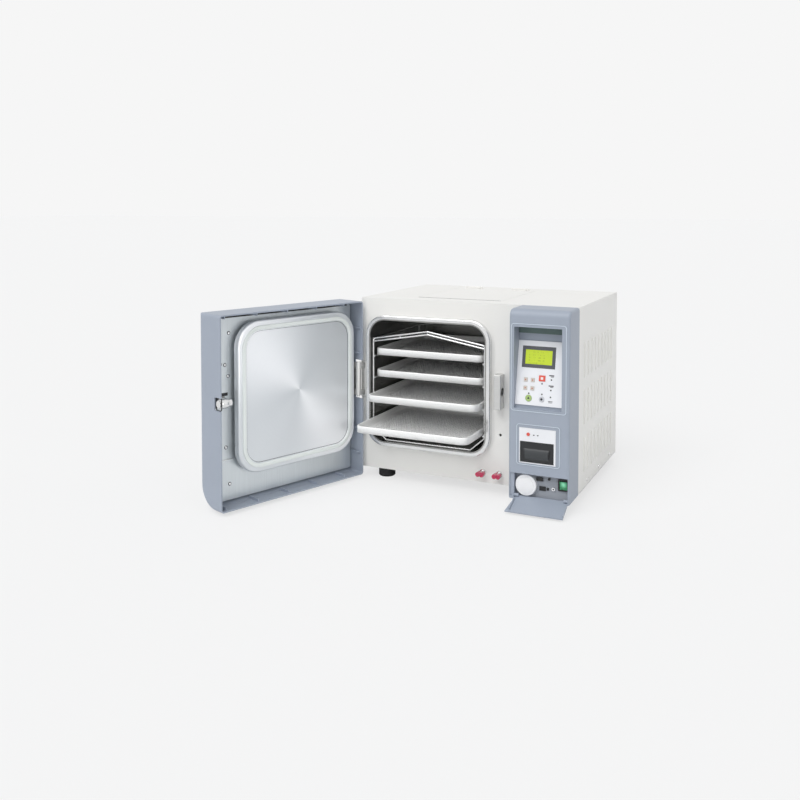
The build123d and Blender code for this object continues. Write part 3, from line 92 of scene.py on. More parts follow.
fascia_top, fascia_bottom = Vector((0, -44, 363)), Vector((0, -71, 228))
FASCIA_TILT = atan2(fascia_top.y - fascia_bottom.y, fascia_top.z - fascia_bottom.z)
fascia_place = (Matrix.Translation(at(460.5, -57.5, 295.5))
                @ Matrix.Rotation(pi / 2 - FASCIA_TILT, 4, "X"))


# Materials
class Signal:
    """One number that runs through a finish. Sums, differences and products of it add Math nodes."""

    def __init__(self, finish, socket):
        self.finish = finish
        self.socket = socket

    def math(self, operation, other=None, swapped=False):
        pair = (other, self) if swapped else (self, other)
        values = {index: value for index, value in enumerate(pair) if value is not None}
        node = self.finish.node("ShaderNodeMath", {"operation": operation}, values)
        return Signal(self.finish, node.outputs[0])

    def __add__(self, other):
        return self.math("ADD", other)

    def __sub__(self, other):
        return self.math("SUBTRACT", other)

    def __rsub__(self, other):
        return self.math("SUBTRACT", other, swapped=True)

    def __mul__(self, other):
        return self.math("MULTIPLY", other)

    def power(self, exponent):
        return self.math("POWER", exponent)

    def between(self, low, high):
        """Rises smoothly from nought at low to one at high."""
        node = self.finish.node(
            "ShaderNodeMapRange", {"interpolation_type": "SMOOTHSTEP", "clamp": True},
            {"Value": self, "From Min": low, "From Max": high},
        )
        return Signal(self.finish, node.outputs[0])


class Finish:
    """A surface finish: one Principled shader and what varies over the surface."""

    def __init__(self, name, colour, roughness, metallic=0.0, **constants):
        self.material = bpy.data.materials.new(name)
        self.material.use_nodes = True
        self.tree = self.material.node_tree
        self.shader = self.tree.nodes["Principled BSDF"]
        self.shader.inputs["Base Color"].default_value = (*colour, 1)
        self.shader.inputs["Roughness"].default_value = roughness
        self.shader.inputs["Metallic"].default_value = metallic
        for socket, value in constants.items():
            self.shader.inputs[socket.replace("_", " ")].default_value = value
        self.material.diffuse_color = (*colour, 1)

    def node(self, kind, settings=None, values=None):
        """A node of one type, its settings first, then its sockets' values or links."""
        made = self.tree.nodes.new(kind)
        for key, value in (settings or {}).items():
            setattr(made, key, value)
        for key, value in (values or {}).items():
            if isinstance(value, Signal):
                value = value.socket
            if isinstance(value, bpy.types.NodeSocket):
                self.tree.links.new(value, made.inputs[key])
            else:
                made.inputs[key].default_value = value
        return made

    def place(self, centre=(0, 0, 0), turn=(0, 0, 0), stretch=(1, 1, 1)):
        """Object coordinates, centred and turned on a piece, then stretched."""
        coordinates = self.node("ShaderNodeTexCoord").outputs["Object"]
        centred = self.node("ShaderNodeMapping", {"vector_type": "TEXTURE"},
                            {"Vector": coordinates, "Location": centre, "Rotation": turn})
        stretched = self.node("ShaderNodeMapping", {"vector_type": "POINT"},
                              {"Vector": centred.outputs[0], "Scale": stretch})
        return stretched.outputs[0]

    def noise(self, scale, detail=2.0, where=None):
        made = self.node("ShaderNodeTexNoise", None, {
            "Vector": where or self.place(), "Scale": scale, "Detail": detail,
        })
        return Signal(self, made.outputs[0])

    def axes(self, where):
        """The three numbers of a vector."""
        made = self.node("ShaderNodeSeparateXYZ", None, {0: where})
        return [Signal(self, socket) for socket in made.outputs]

    def mix(self, factor, first, second):
        made = self.node("ShaderNodeMix", {"data_type": "RGBA"},
                         {0: factor, 6: (*first, 1), 7: (*second, 1)})
        return made.outputs[2]

    def feed(self, socket, value):
        if isinstance(value, Signal):
            value = value.socket
        self.tree.links.new(value, self.shader.inputs[socket])

    def bump(self, height, depth):
        """Relief of a depth in metres."""
        made = self.node("ShaderNodeBump", None,
                         {"Height": height, "Distance": depth, "Strength": 1.0})
        self.feed("Normal", made.outputs[0])


def shade(colour, factor):
    return tuple(channel * factor for channel in colour)


def moulded(name, colour, roughness=0.42, grain=0.00002):
    """Moulded plastic: a fine grain and a faint change of tone."""
    finish = Finish(name, colour, roughness)
    tone = finish.noise(14, 3)
    finish.feed("Base Color", finish.mix(tone, shade(colour, 0.96), shade(colour, 1.04)))
    finish.feed("Roughness", finish.noise(60, 3) * 0.1 + (roughness - 0.05))
    finish.bump(finish.noise(1400, 2), grain)
    return finish.material


def painted(name, colour, roughness=0.4):
    """Powder-coated sheet: a low orange peel and a faint change of tone."""
    finish = Finish(name, colour, roughness, Coat_Weight=0.12, Coat_Roughness=0.2)
    tone = finish.noise(5, 3)
    finish.feed("Base Color", finish.mix(tone, shade(colour, 0.975), shade(colour, 1.02)))
    finish.feed("Roughness", finish.noise(30, 3) * 0.1 + (roughness - 0.05))
    finish.bump(finish.noise(420, 2), 0.00006)
    return finish.material


def brushed(name, colour, roughness, stretch, grain=0.00002, metallic=1.0):
    """Metal brushed along one way: long thin streaks in tone, roughness and relief."""
    finish = Finish(name, colour, roughness, metallic=metallic)
    streak = finish.noise(1.0, 3, finish.place(stretch=stretch))
    cloud = finish.noise(9, 3)
    finish.feed("Base Color", finish.mix(streak, shade(colour, 0.88), shade(colour, 1.08)))
    finish.feed("Roughness", streak * 0.14 + cloud * 0.08 + (roughness - 0.11))
    finish.bump(streak, grain)
    return finish.material


def cast(name, colour, roughness=0.5, metallic=0.9):
    """Cast or sintered metal with a fine sandy skin."""
    finish = Finish(name, colour, roughness, metallic=metallic)
    finish.feed("Base Color", finish.mix(finish.noise(40, 4), shade(colour, 0.85), shade(colour, 1.1)))
    finish.bump(finish.noise(700, 3), 0.00008)
    return finish.material


def rubber(name, colour, roughness=0.7):
    """Matt rubber or paper, mottled."""
    finish = Finish(name, colour, roughness)
    finish.feed("Base Color", finish.mix(finish.noise(30, 3), shade(colour, 0.8), shade(colour, 1.3)))
    finish.bump(finish.noise(900, 2), 0.00005)
    return finish.material


paint = painted("warm_white_paint", (0.84, 0.83, 0.80))
shell = moulded("blue_grey_plastic", (0.335, 0.375, 0.445), 0.42)
bay_grey = moulded("bay_plastic", (0.33, 0.35, 0.39), 0.5)
face_white = moulded("faceplate_plastic", (0.82, 0.83, 0.86), 0.38)
frame_dark = moulded("display_frame_plastic", (0.085, 0.088, 0.10), 0.45)
soft_black = moulded("black_plastic", (0.012, 0.012, 0.014), 0.38)
filter_white = moulded("filter_plastic", (0.86, 0.86, 0.87), 0.45)
key_beige = moulded("beige_key", (0.60, 0.55, 0.50), 0.45)
key_red = moulded("red_key", (0.72, 0.10, 0.07), 0.38)
key_green = moulded("green_key", (0.36, 0.50, 0.18), 0.4)
key_silver = moulded("silver_key", (0.55, 0.56, 0.60), 0.42)
mark_red = moulded("red_mark", (0.45, 0.12, 0.08), 0.5)
mark_dark = moulded("dark_mark", (0.03, 0.03, 0.035), 0.5)
mark_pale = moulded("pale_mark", (0.85, 0.80, 0.78), 0.5)
tank_white = moulded("tank_plastic", (0.72, 0.75, 0.78), 0.4)
foot_rubber = rubber("foot_rubber", (0.012, 0.012, 0.013))
seal_grey = moulded("silicone_seal", (0.70, 0.735, 0.72), 0.5)
bead_painted_highlight = moulded("bead_painted_highlight_line", (0.62, 0.69, 0.76), 0.4)
niche_shade = moulded("niche_painted_shade_strip", (0.10, 0.15, 0.14), 0.5)
paper = rubber("paper", (0.83, 0.82, 0.78), 0.9)
felt = cast("insulation_felt", (0.62, 0.58, 0.46), 0.95, 0.0)
bright_steel = brushed("polished_steel", (0.80, 0.80, 0.80), 0.2, (40, 900, 40), 0.000004)
vessel_steel = brushed("vessel_steel", (0.33, 0.33, 0.32), 0.3, (30, 30, 500), 0.00001)
fitting_steel = brushed("fitting_steel", (0.66, 0.66, 0.65), 0.32, (40, 40, 900), 0.00001)
plate_steel = brushed("plate_steel", (0.68, 0.72, 0.74), 0.34, (900, 900, 12), 0.00001, metallic=0.7)
tray_metal = brushed("tray_aluminium", (0.93, 0.93, 0.92), 0.4, (500, 12, 500), 0.000008, metallic=0.3)
fin_metal = brushed("fin_aluminium", (0.8, 0.8, 0.82), 0.35, (400, 20, 20), 0.00001)
pump_metal = cast("pump_casting", (0.5, 0.5, 0.51))
pcb_green = moulded("circuit_board", (0.03, 0.16, 0.07), 0.4)


def turned_face_with_painted_sheen():
    """Turned steel: fine rings round the lid's middle, and bright and dark sectors of painted sheen about
    it, mixed between shaded and lit tones.
    """
    shaded, lit = (0.62, 0.65, 0.675), (0.94, 0.955, 0.975)
    finish = Finish("turned_steel_with_painted_sheen", lit, 0.36, metallic=0.45)
    middle = door_swing @ at(CHAMBER_CENTRE[0], -16, CHAMBER_CENTRE[1])
    x, _, z = finish.axes(finish.place(middle, (0, 0, DOOR_OPEN)))
    angle = z.math("ARCTAN2", x)
    # Painted sheen: sectors round the middle painted brighter or darker into the colour, as a polished
    # face would catch the light
    painted_sheen_star = ((angle - radians(48)) * 2).math("COSINE") * 0.5 + 0.5
    second = ((angle - radians(20)) * 5).math("COSINE") * 0.5 + 0.5
    reach = (x * x + z * z).power(0.5)
    rings = finish.noise(1.0, 3, finish.node(
        "ShaderNodeCombineXYZ", None, {0: reach * 1600, 1: angle * 0.6}).outputs[0])
    light = painted_sheen_star.power(2.2) * 0.85 + second * 0.08 + rings * 0.14
    finish.feed("Base Color", finish.mix(light, shaded, lit))
    finish.feed("Roughness", rings * 0.16 + 0.28)
    finish.bump(rings, 0.000012)
    return finish.material


def lit_display():
    """The display: a yellow-green field with rows of faint dark blocks."""
    lit, dark = (0.42, 0.53, 0.012), (0.12, 0.17, 0.008)
    finish = Finish("lit_display", lit, 0.22, Coat_Weight=0.6)
    middle = fascia_place @ Vector((mm(DISPLAY_PLACE[0]), mm(DISPLAY_PLACE[1]), 0))
    x, y, _ = finish.axes(finish.place(middle, (pi / 2 - FASCIA_TILT, 0, 0)))
    rows = (y * 170).math("FRACT").between(0.45, 0.6)
    cells = finish.noise(1.0, 0.0, finish.place(stretch=(520, 60, 60)))
    blocks = cells.between(0.52, 0.6) * rows
    shown = blocks * x.between(-0.024, -0.022) * (1 - x.between(0.012, 0.014)) * 0.35
    field = finish.mix(shown, lit, dark)
    finish.feed("Base Color", field)
    finish.feed("Emission Color", field)
    finish.shader.inputs["Emission Strength"].default_value = 0.35
    return finish.material


def lit_rocker():
    """The green rocker, paler in its middle where its lamp shines through."""
    finish = Finish("lit_rocker", (0.01, 0.30, 0.10), 0.25, Coat_Weight=0.7)
    x, _, z = finish.axes(finish.place(at(*ROCKER_PLACE)))
    glow = 1 - (x * x + z * z).power(0.5).between(0.001, 0.009)
    field = finish.mix(glow, (0.005, 0.20, 0.07), (0.25, 0.75, 0.45))
    finish.feed("Base Color", field)
    finish.feed("Emission Color", field)
    finish.shader.inputs["Emission Strength"].default_value = 0.25
    return finish.material


def crimson_knob():
    """Glossy crimson plastic, a little cloudy."""
    finish = Finish("crimson_knob", (0.50, 0.008, 0.07), 0.22, Coat_Weight=0.8,
                    Coat_Roughness=0.08)
    finish.feed("Base Color", finish.mix(finish.noise(50, 2), (0.42, 0.006, 0.055),
                                         (0.58, 0.012, 0.09)))
    return finish.material


def cover_plastic():
    """The printer cover: black, with the paper door's bulge a little paler."""
    black, grey = (0.014, 0.015, 0.017), (0.042, 0.046, 0.05)
    finish = Finish("cover_plastic", black, 0.35)
    x, _, z = finish.axes(finish.place(at(*COVER_PLACE)))
    across = 1 - x.math("ABSOLUTE").between(0.024, 0.027)
    along = 1 - z.math("ABSOLUTE").between(0.009, 0.013)
    finish.feed("Base Color", finish.mix(across * along, black, grey))
    finish.bump(finish.noise(1400, 2), 0.00002)
    return finish.material


turned_steel_with_painted_sheen = turned_face_with_painted_sheen()
cover_black = cover_plastic()
display_green = lit_display()
rocker_green = lit_rocker()
crimson = crimson_knob()

node_finishes = {
    "base_pan": fitting_steel, "front_panel": paint, "outer_cover": paint, "rear_panel": paint,
    "rubber_feet": foot_rubber, "case_screws": bright_steel, "chamber": vessel_steel,
    "chamber_flange": bright_steel, "heater_bands": fitting_steel, "insulation_jacket": felt,
    "water_tank": tank_white, "tank_lid": paint, "pump_set": pump_metal, "condenser": fin_metal,
    "fan_frame": soft_black, "fan_rotor": soft_black, "control_board": pcb_green,
    "power_supply": fitting_steel, "safety_valve": bright_steel, "rear_fittings": soft_black,
    "hinge_bracket": fitting_steel, "hinge_pin": fitting_steel, "latch_keeper": fitting_steel,
    "drain_bodies": bright_steel, "drain_knob_left": crimson, "drain_knob_right": crimson,
    "door_shell": shell, "door_plate": plate_steel, "door_beam": fitting_steel,
    "lid_plate": turned_steel_with_painted_sheen, "lid_gasket": seal_grey, "lid_spindle": fitting_steel,
    "door_handle": shell, "latch_bolt": bright_steel, "tower_bezel": shell,
    "faceplate": face_white, "display_frame": frame_dark, "display_glass": display_green,
    "status_lamps": soft_black, "key_up": key_beige, "key_down": key_beige,
    "key_left": key_beige, "key_right": key_beige, "start_key": key_green,
    "drain_key": key_silver, "stop_key": key_red, "printer_body": face_white,
    "printer_cover": cover_black, "paper_roll": paper, "feed_key": key_red,
    "service_plate": bay_grey, "air_filter": filter_white, "service_ports": soft_black,
    "power_rocker": rocker_green, "service_flap": shell, "tray_rack": bright_steel,
    "tray_1": tray_metal, "tray_2": tray_metal, "tray_3": tray_metal, "tray_4": tray_metal,
}
for node, material in node_finishes.items():
    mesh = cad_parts[node].data
    mesh.materials.clear()
    mesh.materials.append(material)


# Pieces
def finished(name, body, material, shape, place=Matrix.Identity(4), smooth=35):
    """Makes a bmesh a piece of the object that rides on a body."""
    shape.transform(place)
    bmesh.ops.recalc_face_normals(shape, faces=shape.faces)
    mesh = bpy.data.meshes.new(name)
    shape.to_mesh(mesh)
    shape.free()
    piece = bpy.data.objects.new(name, mesh)
    bpy.context.scene.collection.objects.link(piece)
    mesh.materials.append(material)
    mesh.shade_smooth()
    mesh.set_sharp_from_angle(angle=radians(smooth))
    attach(piece, body)
    return piece


def add_block(shape, low, high):
    """A block between two corners in millimetres."""
    size = Vector(high) - Vector(low)
    middle = (Vector(high) + Vector(low)) / 2
    verts = bmesh.ops.create_cube(shape, size=1.0)["verts"]
    bmesh.ops.scale(shape, vec=mm(size), verts=verts)
    bmesh.ops.translate(shape, vec=mm(middle), verts=verts)


def add_disc(shape, centre, radius, height, way="Z", segments=32, round_edge=0.0):
    """A cylinder in millimetres from centre along a way, its rims rounded where asked."""
    turns = {"Z": Matrix.Identity(4), "-Y": Matrix.Rotation(pi / 2, 4, "X"),
             "X": Matrix.Rotation(pi / 2, 4, "Y")}
    place = (Matrix.Translation(mm(Vector(centre))) @ turns[way]
             @ Matrix.Translation((0, 0, mm(height / 2))))
    made = bmesh.ops.create_cone(shape, cap_ends=True, segments=segments, radius1=mm(radius),
                                 radius2=mm(radius), depth=mm(height), matrix=place)
    if round_edge:
        edges = {edge for vert in made["verts"] for edge in vert.link_edges}
        rims = [edge for edge in edges if any(len(face.verts) > 4 for face in edge.link_faces)]
        bmesh.ops.bevel(shape, geom=rims, offset=mm(round_edge), segments=3, profile=0.5,
                        affect="EDGES", material=-1)


def rounded_face(shape, width, depth, corner, segments=8):
    """One flat face with round corners, in millimetres about the middle."""
    made = bmesh.ops.create_grid(shape, x_segments=1, y_segments=1, size=0.5)
    bmesh.ops.scale(shape, vec=(mm(width), mm(depth), 1), verts=made["verts"])
    bmesh.ops.bevel(shape, geom=made["verts"], offset=mm(corner), segments=segments,
                    profile=0.5, affect="VERTICES", material=-1)
    shape.faces.ensure_lookup_table()
    return shape.faces[0]


# Trays: pressed pans with a rolled rim and a floor full of holes
TRAY_SIZE = (276, 286)
TRAY_HEIGHT = 17
TRAY_CORNER = 20
TRAY_LEVELS = {"tray_1": 297, "tray_2": 245, "tray_3": 192, "tray_4": 132}
TRAY_FRONTS = {"tray_1": -4, "tray_2": -4, "tray_3": -48, "tray_4": -107}
HOLE_PITCH = 6.5
HOLE_SIDE = 4.6
HOLE_STAGGER = 1.3
HOLE_CUT = 0.25
FLOOR_MARGIN = 17.0
SHEET = 1.0
NEAR = 1e-6
RIM_STEPS = (
    (0.05, 13.4), (0.25, 1.0), (0.55, 0.8), (0.8, 0.4), (0.9, 0.0), (0.8, -0.4), (0.55, -0.8),
    (0.25, -1.0), (0.15, -9.6), (0.35, -1.5), (0.9, -1.2), (1.5, -0.6), (1.2, -0.2),
)


def perforated_floor(shape, width, depth):
    """A grid of cells, each with a hole whose corners are cut, set over by turns along the rows."""
    columns = int(width / HOLE_PITCH)
    rows = int(depth / HOLE_PITCH)
    made = bmesh.ops.create_grid(shape, x_segments=columns, y_segments=rows, size=0.5)
    bmesh.ops.scale(shape, vec=(mm(columns * HOLE_PITCH), mm(rows * HOLE_PITCH), 1),
                    verts=made["verts"])
    cells = list({face for vert in made["verts"] for face in vert.link_faces})
    for face in cells:
        face.normal_update()
    bmesh.ops.inset_individual(shape, faces=cells, thickness=mm((HOLE_PITCH - HOLE_SIDE) / 2))
    for face in cells:
        row = round(face.calc_center_median().y / mm(HOLE_PITCH) + rows / 2 - 0.5)
        for vert in face.verts:
            vert.co.x += mm(HOLE_STAGGER if row % 2 else -HOLE_STAGGER)
    corners = list({vert for face in cells for vert in face.verts})
    bmesh.ops.delete(shape, geom=cells, context="FACES_ONLY")
    bmesh.ops.bevel(shape, geom=corners, offset=mm(HOLE_SIDE * HOLE_CUT), segments=1, profile=0.5,
                    affect="VERTICES", material=-1)
    return mm(columns * HOLE_PITCH / 2), mm(rows * HOLE_PITCH / 2)


def on_floor(vert, height):
    return abs(vert.co.z - height) < NEAR


def make_tray(node):
    """A pan with its rim and its perforated floor, instead of the plain pan of the solids."""
    shape = bmesh.new()
    face = rounded_face(shape, *TRAY_SIZE, TRAY_CORNER)
    for inset, rise in RIM_STEPS:
        face.normal_update()
        bmesh.ops.inset_region(shape, faces=[face], thickness=mm(inset), depth=0,
                               use_boundary=True, use_even_offset=True)
        bmesh.ops.translate(shape, vec=(0, 0, mm(rise)), verts=face.verts)
    floor_height = face.calc_center_median().z
    bmesh.ops.delete(shape, geom=[face], context="FACES_ONLY")
    floor = bmesh.new()
    half_width, half_depth = perforated_floor(
        floor, TRAY_SIZE[0] - 2 * FLOOR_MARGIN, TRAY_SIZE[1] - 2 * FLOOR_MARGIN)
    bmesh.ops.translate(floor, vec=(0, 0, floor_height), verts=floor.verts)
    carrier = bpy.data.meshes.new(node + "_floor")
    floor.to_mesh(carrier)
    floor.free()
    shape.from_mesh(carrier)
    bpy.data.meshes.remove(carrier)
    open_edges = [edge for edge in shape.edges
                  if edge.is_boundary and all(on_floor(vert, floor_height) for vert in edge.verts)]
    border = [edge for edge in open_edges
              if any(all(abs(abs(vert.co[axis]) - half) < NEAR for vert in edge.verts)
                     for axis, half in ((0, half_width), (1, half_depth)))]
    outline = [edge for edge in open_edges
               if all(abs(vert.co.x) > half_width + mm(1) or abs(vert.co.y) > half_depth + mm(1)
                      for vert in edge.verts)]
    bmesh.ops.triangle_fill(shape, edges=border + outline, use_beauty=True)
    lift = mm(TRAY_LEVELS[node] + TRAY_HEIGHT - sum(rise for _, rise in RIM_STEPS if rise > 0))
    centre = at(CHAMBER_CENTRE[0], TRAY_FRONTS[node] + TRAY_SIZE[1] / 2, 0)
    bmesh.ops.translate(shape, vec=(centre.x, centre.y, lift), verts=shape.verts)
    piece = finished("pan_" + node, node, tray_metal, shape)
    sheet = piece.modifiers.new("sheet", "SOLIDIFY")
    sheet.thickness = mm(SHEET)
    sheet.offset = -1.0
    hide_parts(node)


for tray_node in TRAY_LEVELS:
    make_tray(tray_node)


# Louvre hoods over the vent slots of both sides
SLOT_COLUMNS = 9
SLOT_FIRST = 48
SLOT_PITCH = 34
SLOT_ROWS = (62, 168, 274)
SLOT_HEIGHT = 78
HOOD_LAP = 1.0
HOOD_WIDTH = 7.0
HOOD_RISE = 1.9
HOOD_TAPER = 0.92
HOOD_SLOPE = 0.55


def make_hood(shape, side_u, outward, v, low, high):
    """One pressed hood, open along its front edge and sloping to the sheet behind it."""
    front, back = v - HOOD_LAP / 2, v + HOOD_WIDTH - HOOD_LAP / 2
    corners = [at(side_u, *corner) for corner in ((front, low), (front, high), (back, high), (back, low))]
    face = shape.faces.new([shape.verts.new(corner) for corner in corners])
    made = bmesh.ops.extrude_face_region(shape, geom=[face])
    top = [item for item in made["geom"] if isinstance(item, bmesh.types.BMVert)]
    bmesh.ops.translate(shape, vec=(outward * mm(HOOD_RISE), 0, 0), verts=top)
    middle = at(side_u, v + HOOD_LAP / 2, (low + high) / 2)
    for vert in top:
        vert.co.z = middle.z + (vert.co.z - middle.z) * HOOD_TAPER
        if vert.co.y > middle.y:
            vert.co.y -= mm(HOOD_WIDTH * HOOD_SLOPE)


def make_hoods(name, side_u, outward):
    shape = bmesh.new()
    for row in SLOT_ROWS:
        for column in range(SLOT_COLUMNS):
            make_hood(shape, side_u, outward, SLOT_FIRST + column * SLOT_PITCH,
                      row - HOOD_LAP, row + SLOT_HEIGHT + HOOD_LAP)
    finished(name, "cabinet", paint, shape, smooth=80)


make_hoods("vent_hoods_right", CABINET_WIDTH, 1)
make_hoods("vent_hoods_left", 0, -1)


# Marks on the keys and the faceplate, a fifth of a millimetre proud
MARK_RISE = 0.2
KEY_TOP = 1.4


def arrow(shape, centre, turn, size=2.2, height=KEY_TOP):
    """A small triangle on a key."""
    place = (Matrix.Translation((mm(centre[0]), mm(centre[1]), mm(height)))
             @ Matrix.Rotation(turn, 4, "Z"))
    bmesh.ops.create_cone(shape, cap_ends=True, segments=3, radius1=mm(size), radius2=mm(size),
                          depth=mm(2 * MARK_RISE), matrix=place)


def bar(shape, centre, size, height=0.0):
    """A small raised bar about its middle."""
    half = (size[0] / 2, size[1] / 2, MARK_RISE)
    low = (centre[0] - half[0], centre[1] - half[1], height - MARK_RISE)
    high = (centre[0] + half[0], centre[1] + half[1], height + MARK_RISE)
    add_block(shape, low, high)


key_marks = {
    "key_up": ((-31.3, -15.3), pi / 2), "key_down": ((-31.3, -32.9), -pi / 2),
    "key_left": ((-15.8, -15.3), pi), "key_right": ((-15.8, -32.9), 0),
}
for node, (centre, turn) in key_marks.items():
    shape = bmesh.new()
    arrow(shape, centre, turn)
    finished(node + "_mark", node, mark_red, shape, fascia_place)

shape = bmesh.new()
bar(shape, (4.5, -10.3), (5.5, 5.5), KEY_TOP)
finished("stop_mark", "stop_key", mark_pale, shape, fascia_place)
shape = bmesh.new()
arrow(shape, (-22.9, -54.2), 0, 3.2)
finished("start_mark", "start_key", mark_dark, shape, fascia_place)
shape = bmesh.new()
add_disc(shape, (6.0, -54.5, KEY_TOP - MARK_RISE), 2.6, 2 * MARK_RISE, segments=20)
finished("drain_mark", "drain_key", mark_dark, shape, fascia_place)

shape = bmesh.new()
for x, y in ((25.0, -3.0), (25.0, -24.8)):
    bar(shape, (x, y), (11.0, 2.2))
    bar(shape, (x + 1.5, y - 2.6), (7.0, 1.2))
bar(shape, (25.2, -57.5), (10.0, 1.2))
bar(shape, (25.2, -60.0), (8.0, 1.0))
finished("faceplate_marks", "cabinet", mark_dark, shape, fascia_place)

# Printer: two small marks beside the feed key
PRINTER_FACE = -79.8
PRINTER_MARKS = (453.4, 462.0)
PRINTER_MARK_HALF = 1.5
PRINTER_MARK_HEIGHTS = (165.2, 167.4)
shape = bmesh.new()
for u in PRINTER_MARKS:
    low, high = PRINTER_MARK_HEIGHTS
    add_block(shape, from_cad(u - PRINTER_MARK_HALF, PRINTER_FACE - MARK_RISE, low),
              from_cad(u + PRINTER_MARK_HALF, PRINTER_FACE + MARK_RISE, high))
finished("printer_marks", "cabinet", mark_dark, shape)


# Small details that lie on a face of the solids, a few tenths of a millimetre proud
def ring(width, height, corner, band, rise):
    """A flat ring with round corners, raised out of its plane."""
    shape = bmesh.new()
    face = rounded_face(shape, width, height, corner)
    face.normal_update()
    made = bmesh.ops.inset_region(shape, faces=[face], thickness=mm(band), depth=0,
                                  use_boundary=True, use_even_offset=True)
    bmesh.ops.delete(shape, geom=[face], context="FACES_ONLY")
    raised = bmesh.ops.extrude_face_region(shape, geom=made["faces"])
    top = [item for item in raised["geom"] if isinstance(item, bmesh.types.BMVert)]
    bmesh.ops.translate(shape, vec=(0, 0, mm(rise)), verts=top)
    return shape


def discs(places, *measures):
    """The same disc at several places."""
    shape = bmesh.new()
    for place in places:
        add_disc(shape, place, *measures)
    return shape


def blocks(*corners):
    """Blocks, each given by two corners."""
    shape = bmesh.new()
    for low, high in corners:
        add_block(shape, low, high)
    return shape


forwards = Matrix.Rotation(pi / 2, 4, "X")
backwards = Matrix.Rotation(-pi / 2, 4, "X")
sideways = Matrix.Rotation(pi / 2, 4, "Y")

# Tower: pale lines of painted highlight on the beads round the well and the printer, and a dark strip of
# painted shade at the top of the well
BEAD_FACE = TOWER_FACE - 0.6
BEADS_MIDDLE = 462.5
bead_painted_highlights = {"well_painted_highlight": (309.5, (121, 188)), "printer_painted_highlight": (144.5, (95, 88))}
for name, (height, size) in bead_painted_highlights.items():
    finished(name, "cabinet", bead_painted_highlight, ring(*size, 6, 1.3, 0.5),
             Matrix.Translation(at(BEADS_MIDDLE, BEAD_FACE, height)) @ forwards)
# The dark strip at the top of the well is painted shade
finished("well_painted_shade_strip", "cabinet", niche_shade,
         blocks((from_cad(408.4, -44.5, 379), from_cad(512.6, -43.9, 395.6))))

# Roof: seam along the front of the tank lid
SEAM_ENDS = (124, 331)
SEAM_EDGES = (57.5, 59.9)
seam = blocks((from_cad(SEAM_ENDS[0], SEAM_EDGES[0], ROOF - 0.5),
               from_cad(SEAM_ENDS[1], SEAM_EDGES[1], ROOF + 0.25)))
finished("lid_seam", "cabinet", mark_dark, seam)

# Service bay: pale collar round the lower round socket, dark holes, raised middle of the filter
socket = (TOWER_LEFT + 95, 49.7)
finished("socket_collar", "cabinet", filter_white,
         discs([from_cad(socket[0], -62, socket[1])], 4.0, 0.8, "-Y", 28, 0.3))
shape = discs([from_cad(socket[0], -62.4, socket[1])], 1.6, 0.6, "-Y", 20)
add_block(shape, from_cad(TOWER_LEFT + 57.5, -63, 64), from_cad(TOWER_LEFT + 72.5, -60.2, 72))
finished("socket_holes", "cabinet", soft_black, shape)
finished("filter_middle", "cabinet", filter_white,
         discs([from_cad(433.5, -72, 54)], 17.5, 0.8, "-Y", 48, 0.4))

# Door: line round the lid's panel, which is sunk into the lid
LID_PANEL = 290.6
PANEL_FACE = -17.2
finished("panel_line", "door", frame_dark, ring(LID_PANEL, LID_PANEL, 38, 1.2, 0.3),
         door_swing @ Matrix.Translation(at(CHAMBER_CENTRE[0], PANEL_FACE, CHAMBER_CENTRE[1]))
         @ backwards)

# Door: black blocks above and below the bolt's shank, a dark band of painted shade under the top, and a
# dark lining of painted shade in the notch
PLATE_FACE = -43.2
shank_blocks_and_painted_shade = blocks((from_cad(350, PLATE_FACE, 246.4), from_cad(391, -41.8, 253)),
                (from_cad(350, PLATE_FACE, 223), from_cad(391, -41.8, 229.6)),
                (from_cad(8, PLATE_FACE, 413.5), from_cad(388, -42.5, 421.5)))
finished("door_blocks_and_painted_shade", "door", soft_black, shank_blocks_and_painted_shade, door_swing)
# The notch's dark lining is painted shade
finished("notch_painted_shade", "door", soft_black, ring(30, 22, 6, 2.2, 1.0),
         door_swing @ Matrix.Translation(at(390.2, -14, CHAMBER_CENTRE[1])) @ sideways)

# Door: screws of the plate on dark washers, the thin wire, and the roller on the bolt
WIRE_START = (335, -41.8, 107)
WIRE_LENGTH = 40
ROLLER_START = (372, -13, CHAMBER_CENTRE[1])
PLATE_SCREWS = ((346, 381), (368, 315), (356, 313), (348, 288), (355, 134), (346, 53))
finished("screw_washers", "door", frame_dark,
         discs([from_cad(u, -42.6, z) for u, z in PLATE_SCREWS], 4.2, 0.6, "-Y", 20),
         door_swing)
shape = discs([from_cad(u, -41.2, z) for u, z in PLATE_SCREWS], 3.0, 1.9, "-Y", 16, 0.8)
add_disc(shape, from_cad(*WIRE_START), 1.0, WIRE_LENGTH, "X", 8)
finished("plate_screws", "door", bright_steel, shape, door_swing)
finished("bolt_roller", "latch", bright_steel,
         discs([from_cad(*ROLLER_START)], 11.0, 18.0, "X", 40, 2.0),
         door_swing)

# Rack: ties between the two gable wires
GABLE_TIES = ((173.5, 354.5), (103, 342.5), (244, 342.5))
finished("gable_ties", "rack", bright_steel,
         discs([from_cad(u, -3, z) for u, z in GABLE_TIES], 1.5, 6.5, "Z", 12))


# Stage, light and camera
BACKGROUND = (0.922, 0.922, 0.922)
FLOOR_GLOW = 0.72


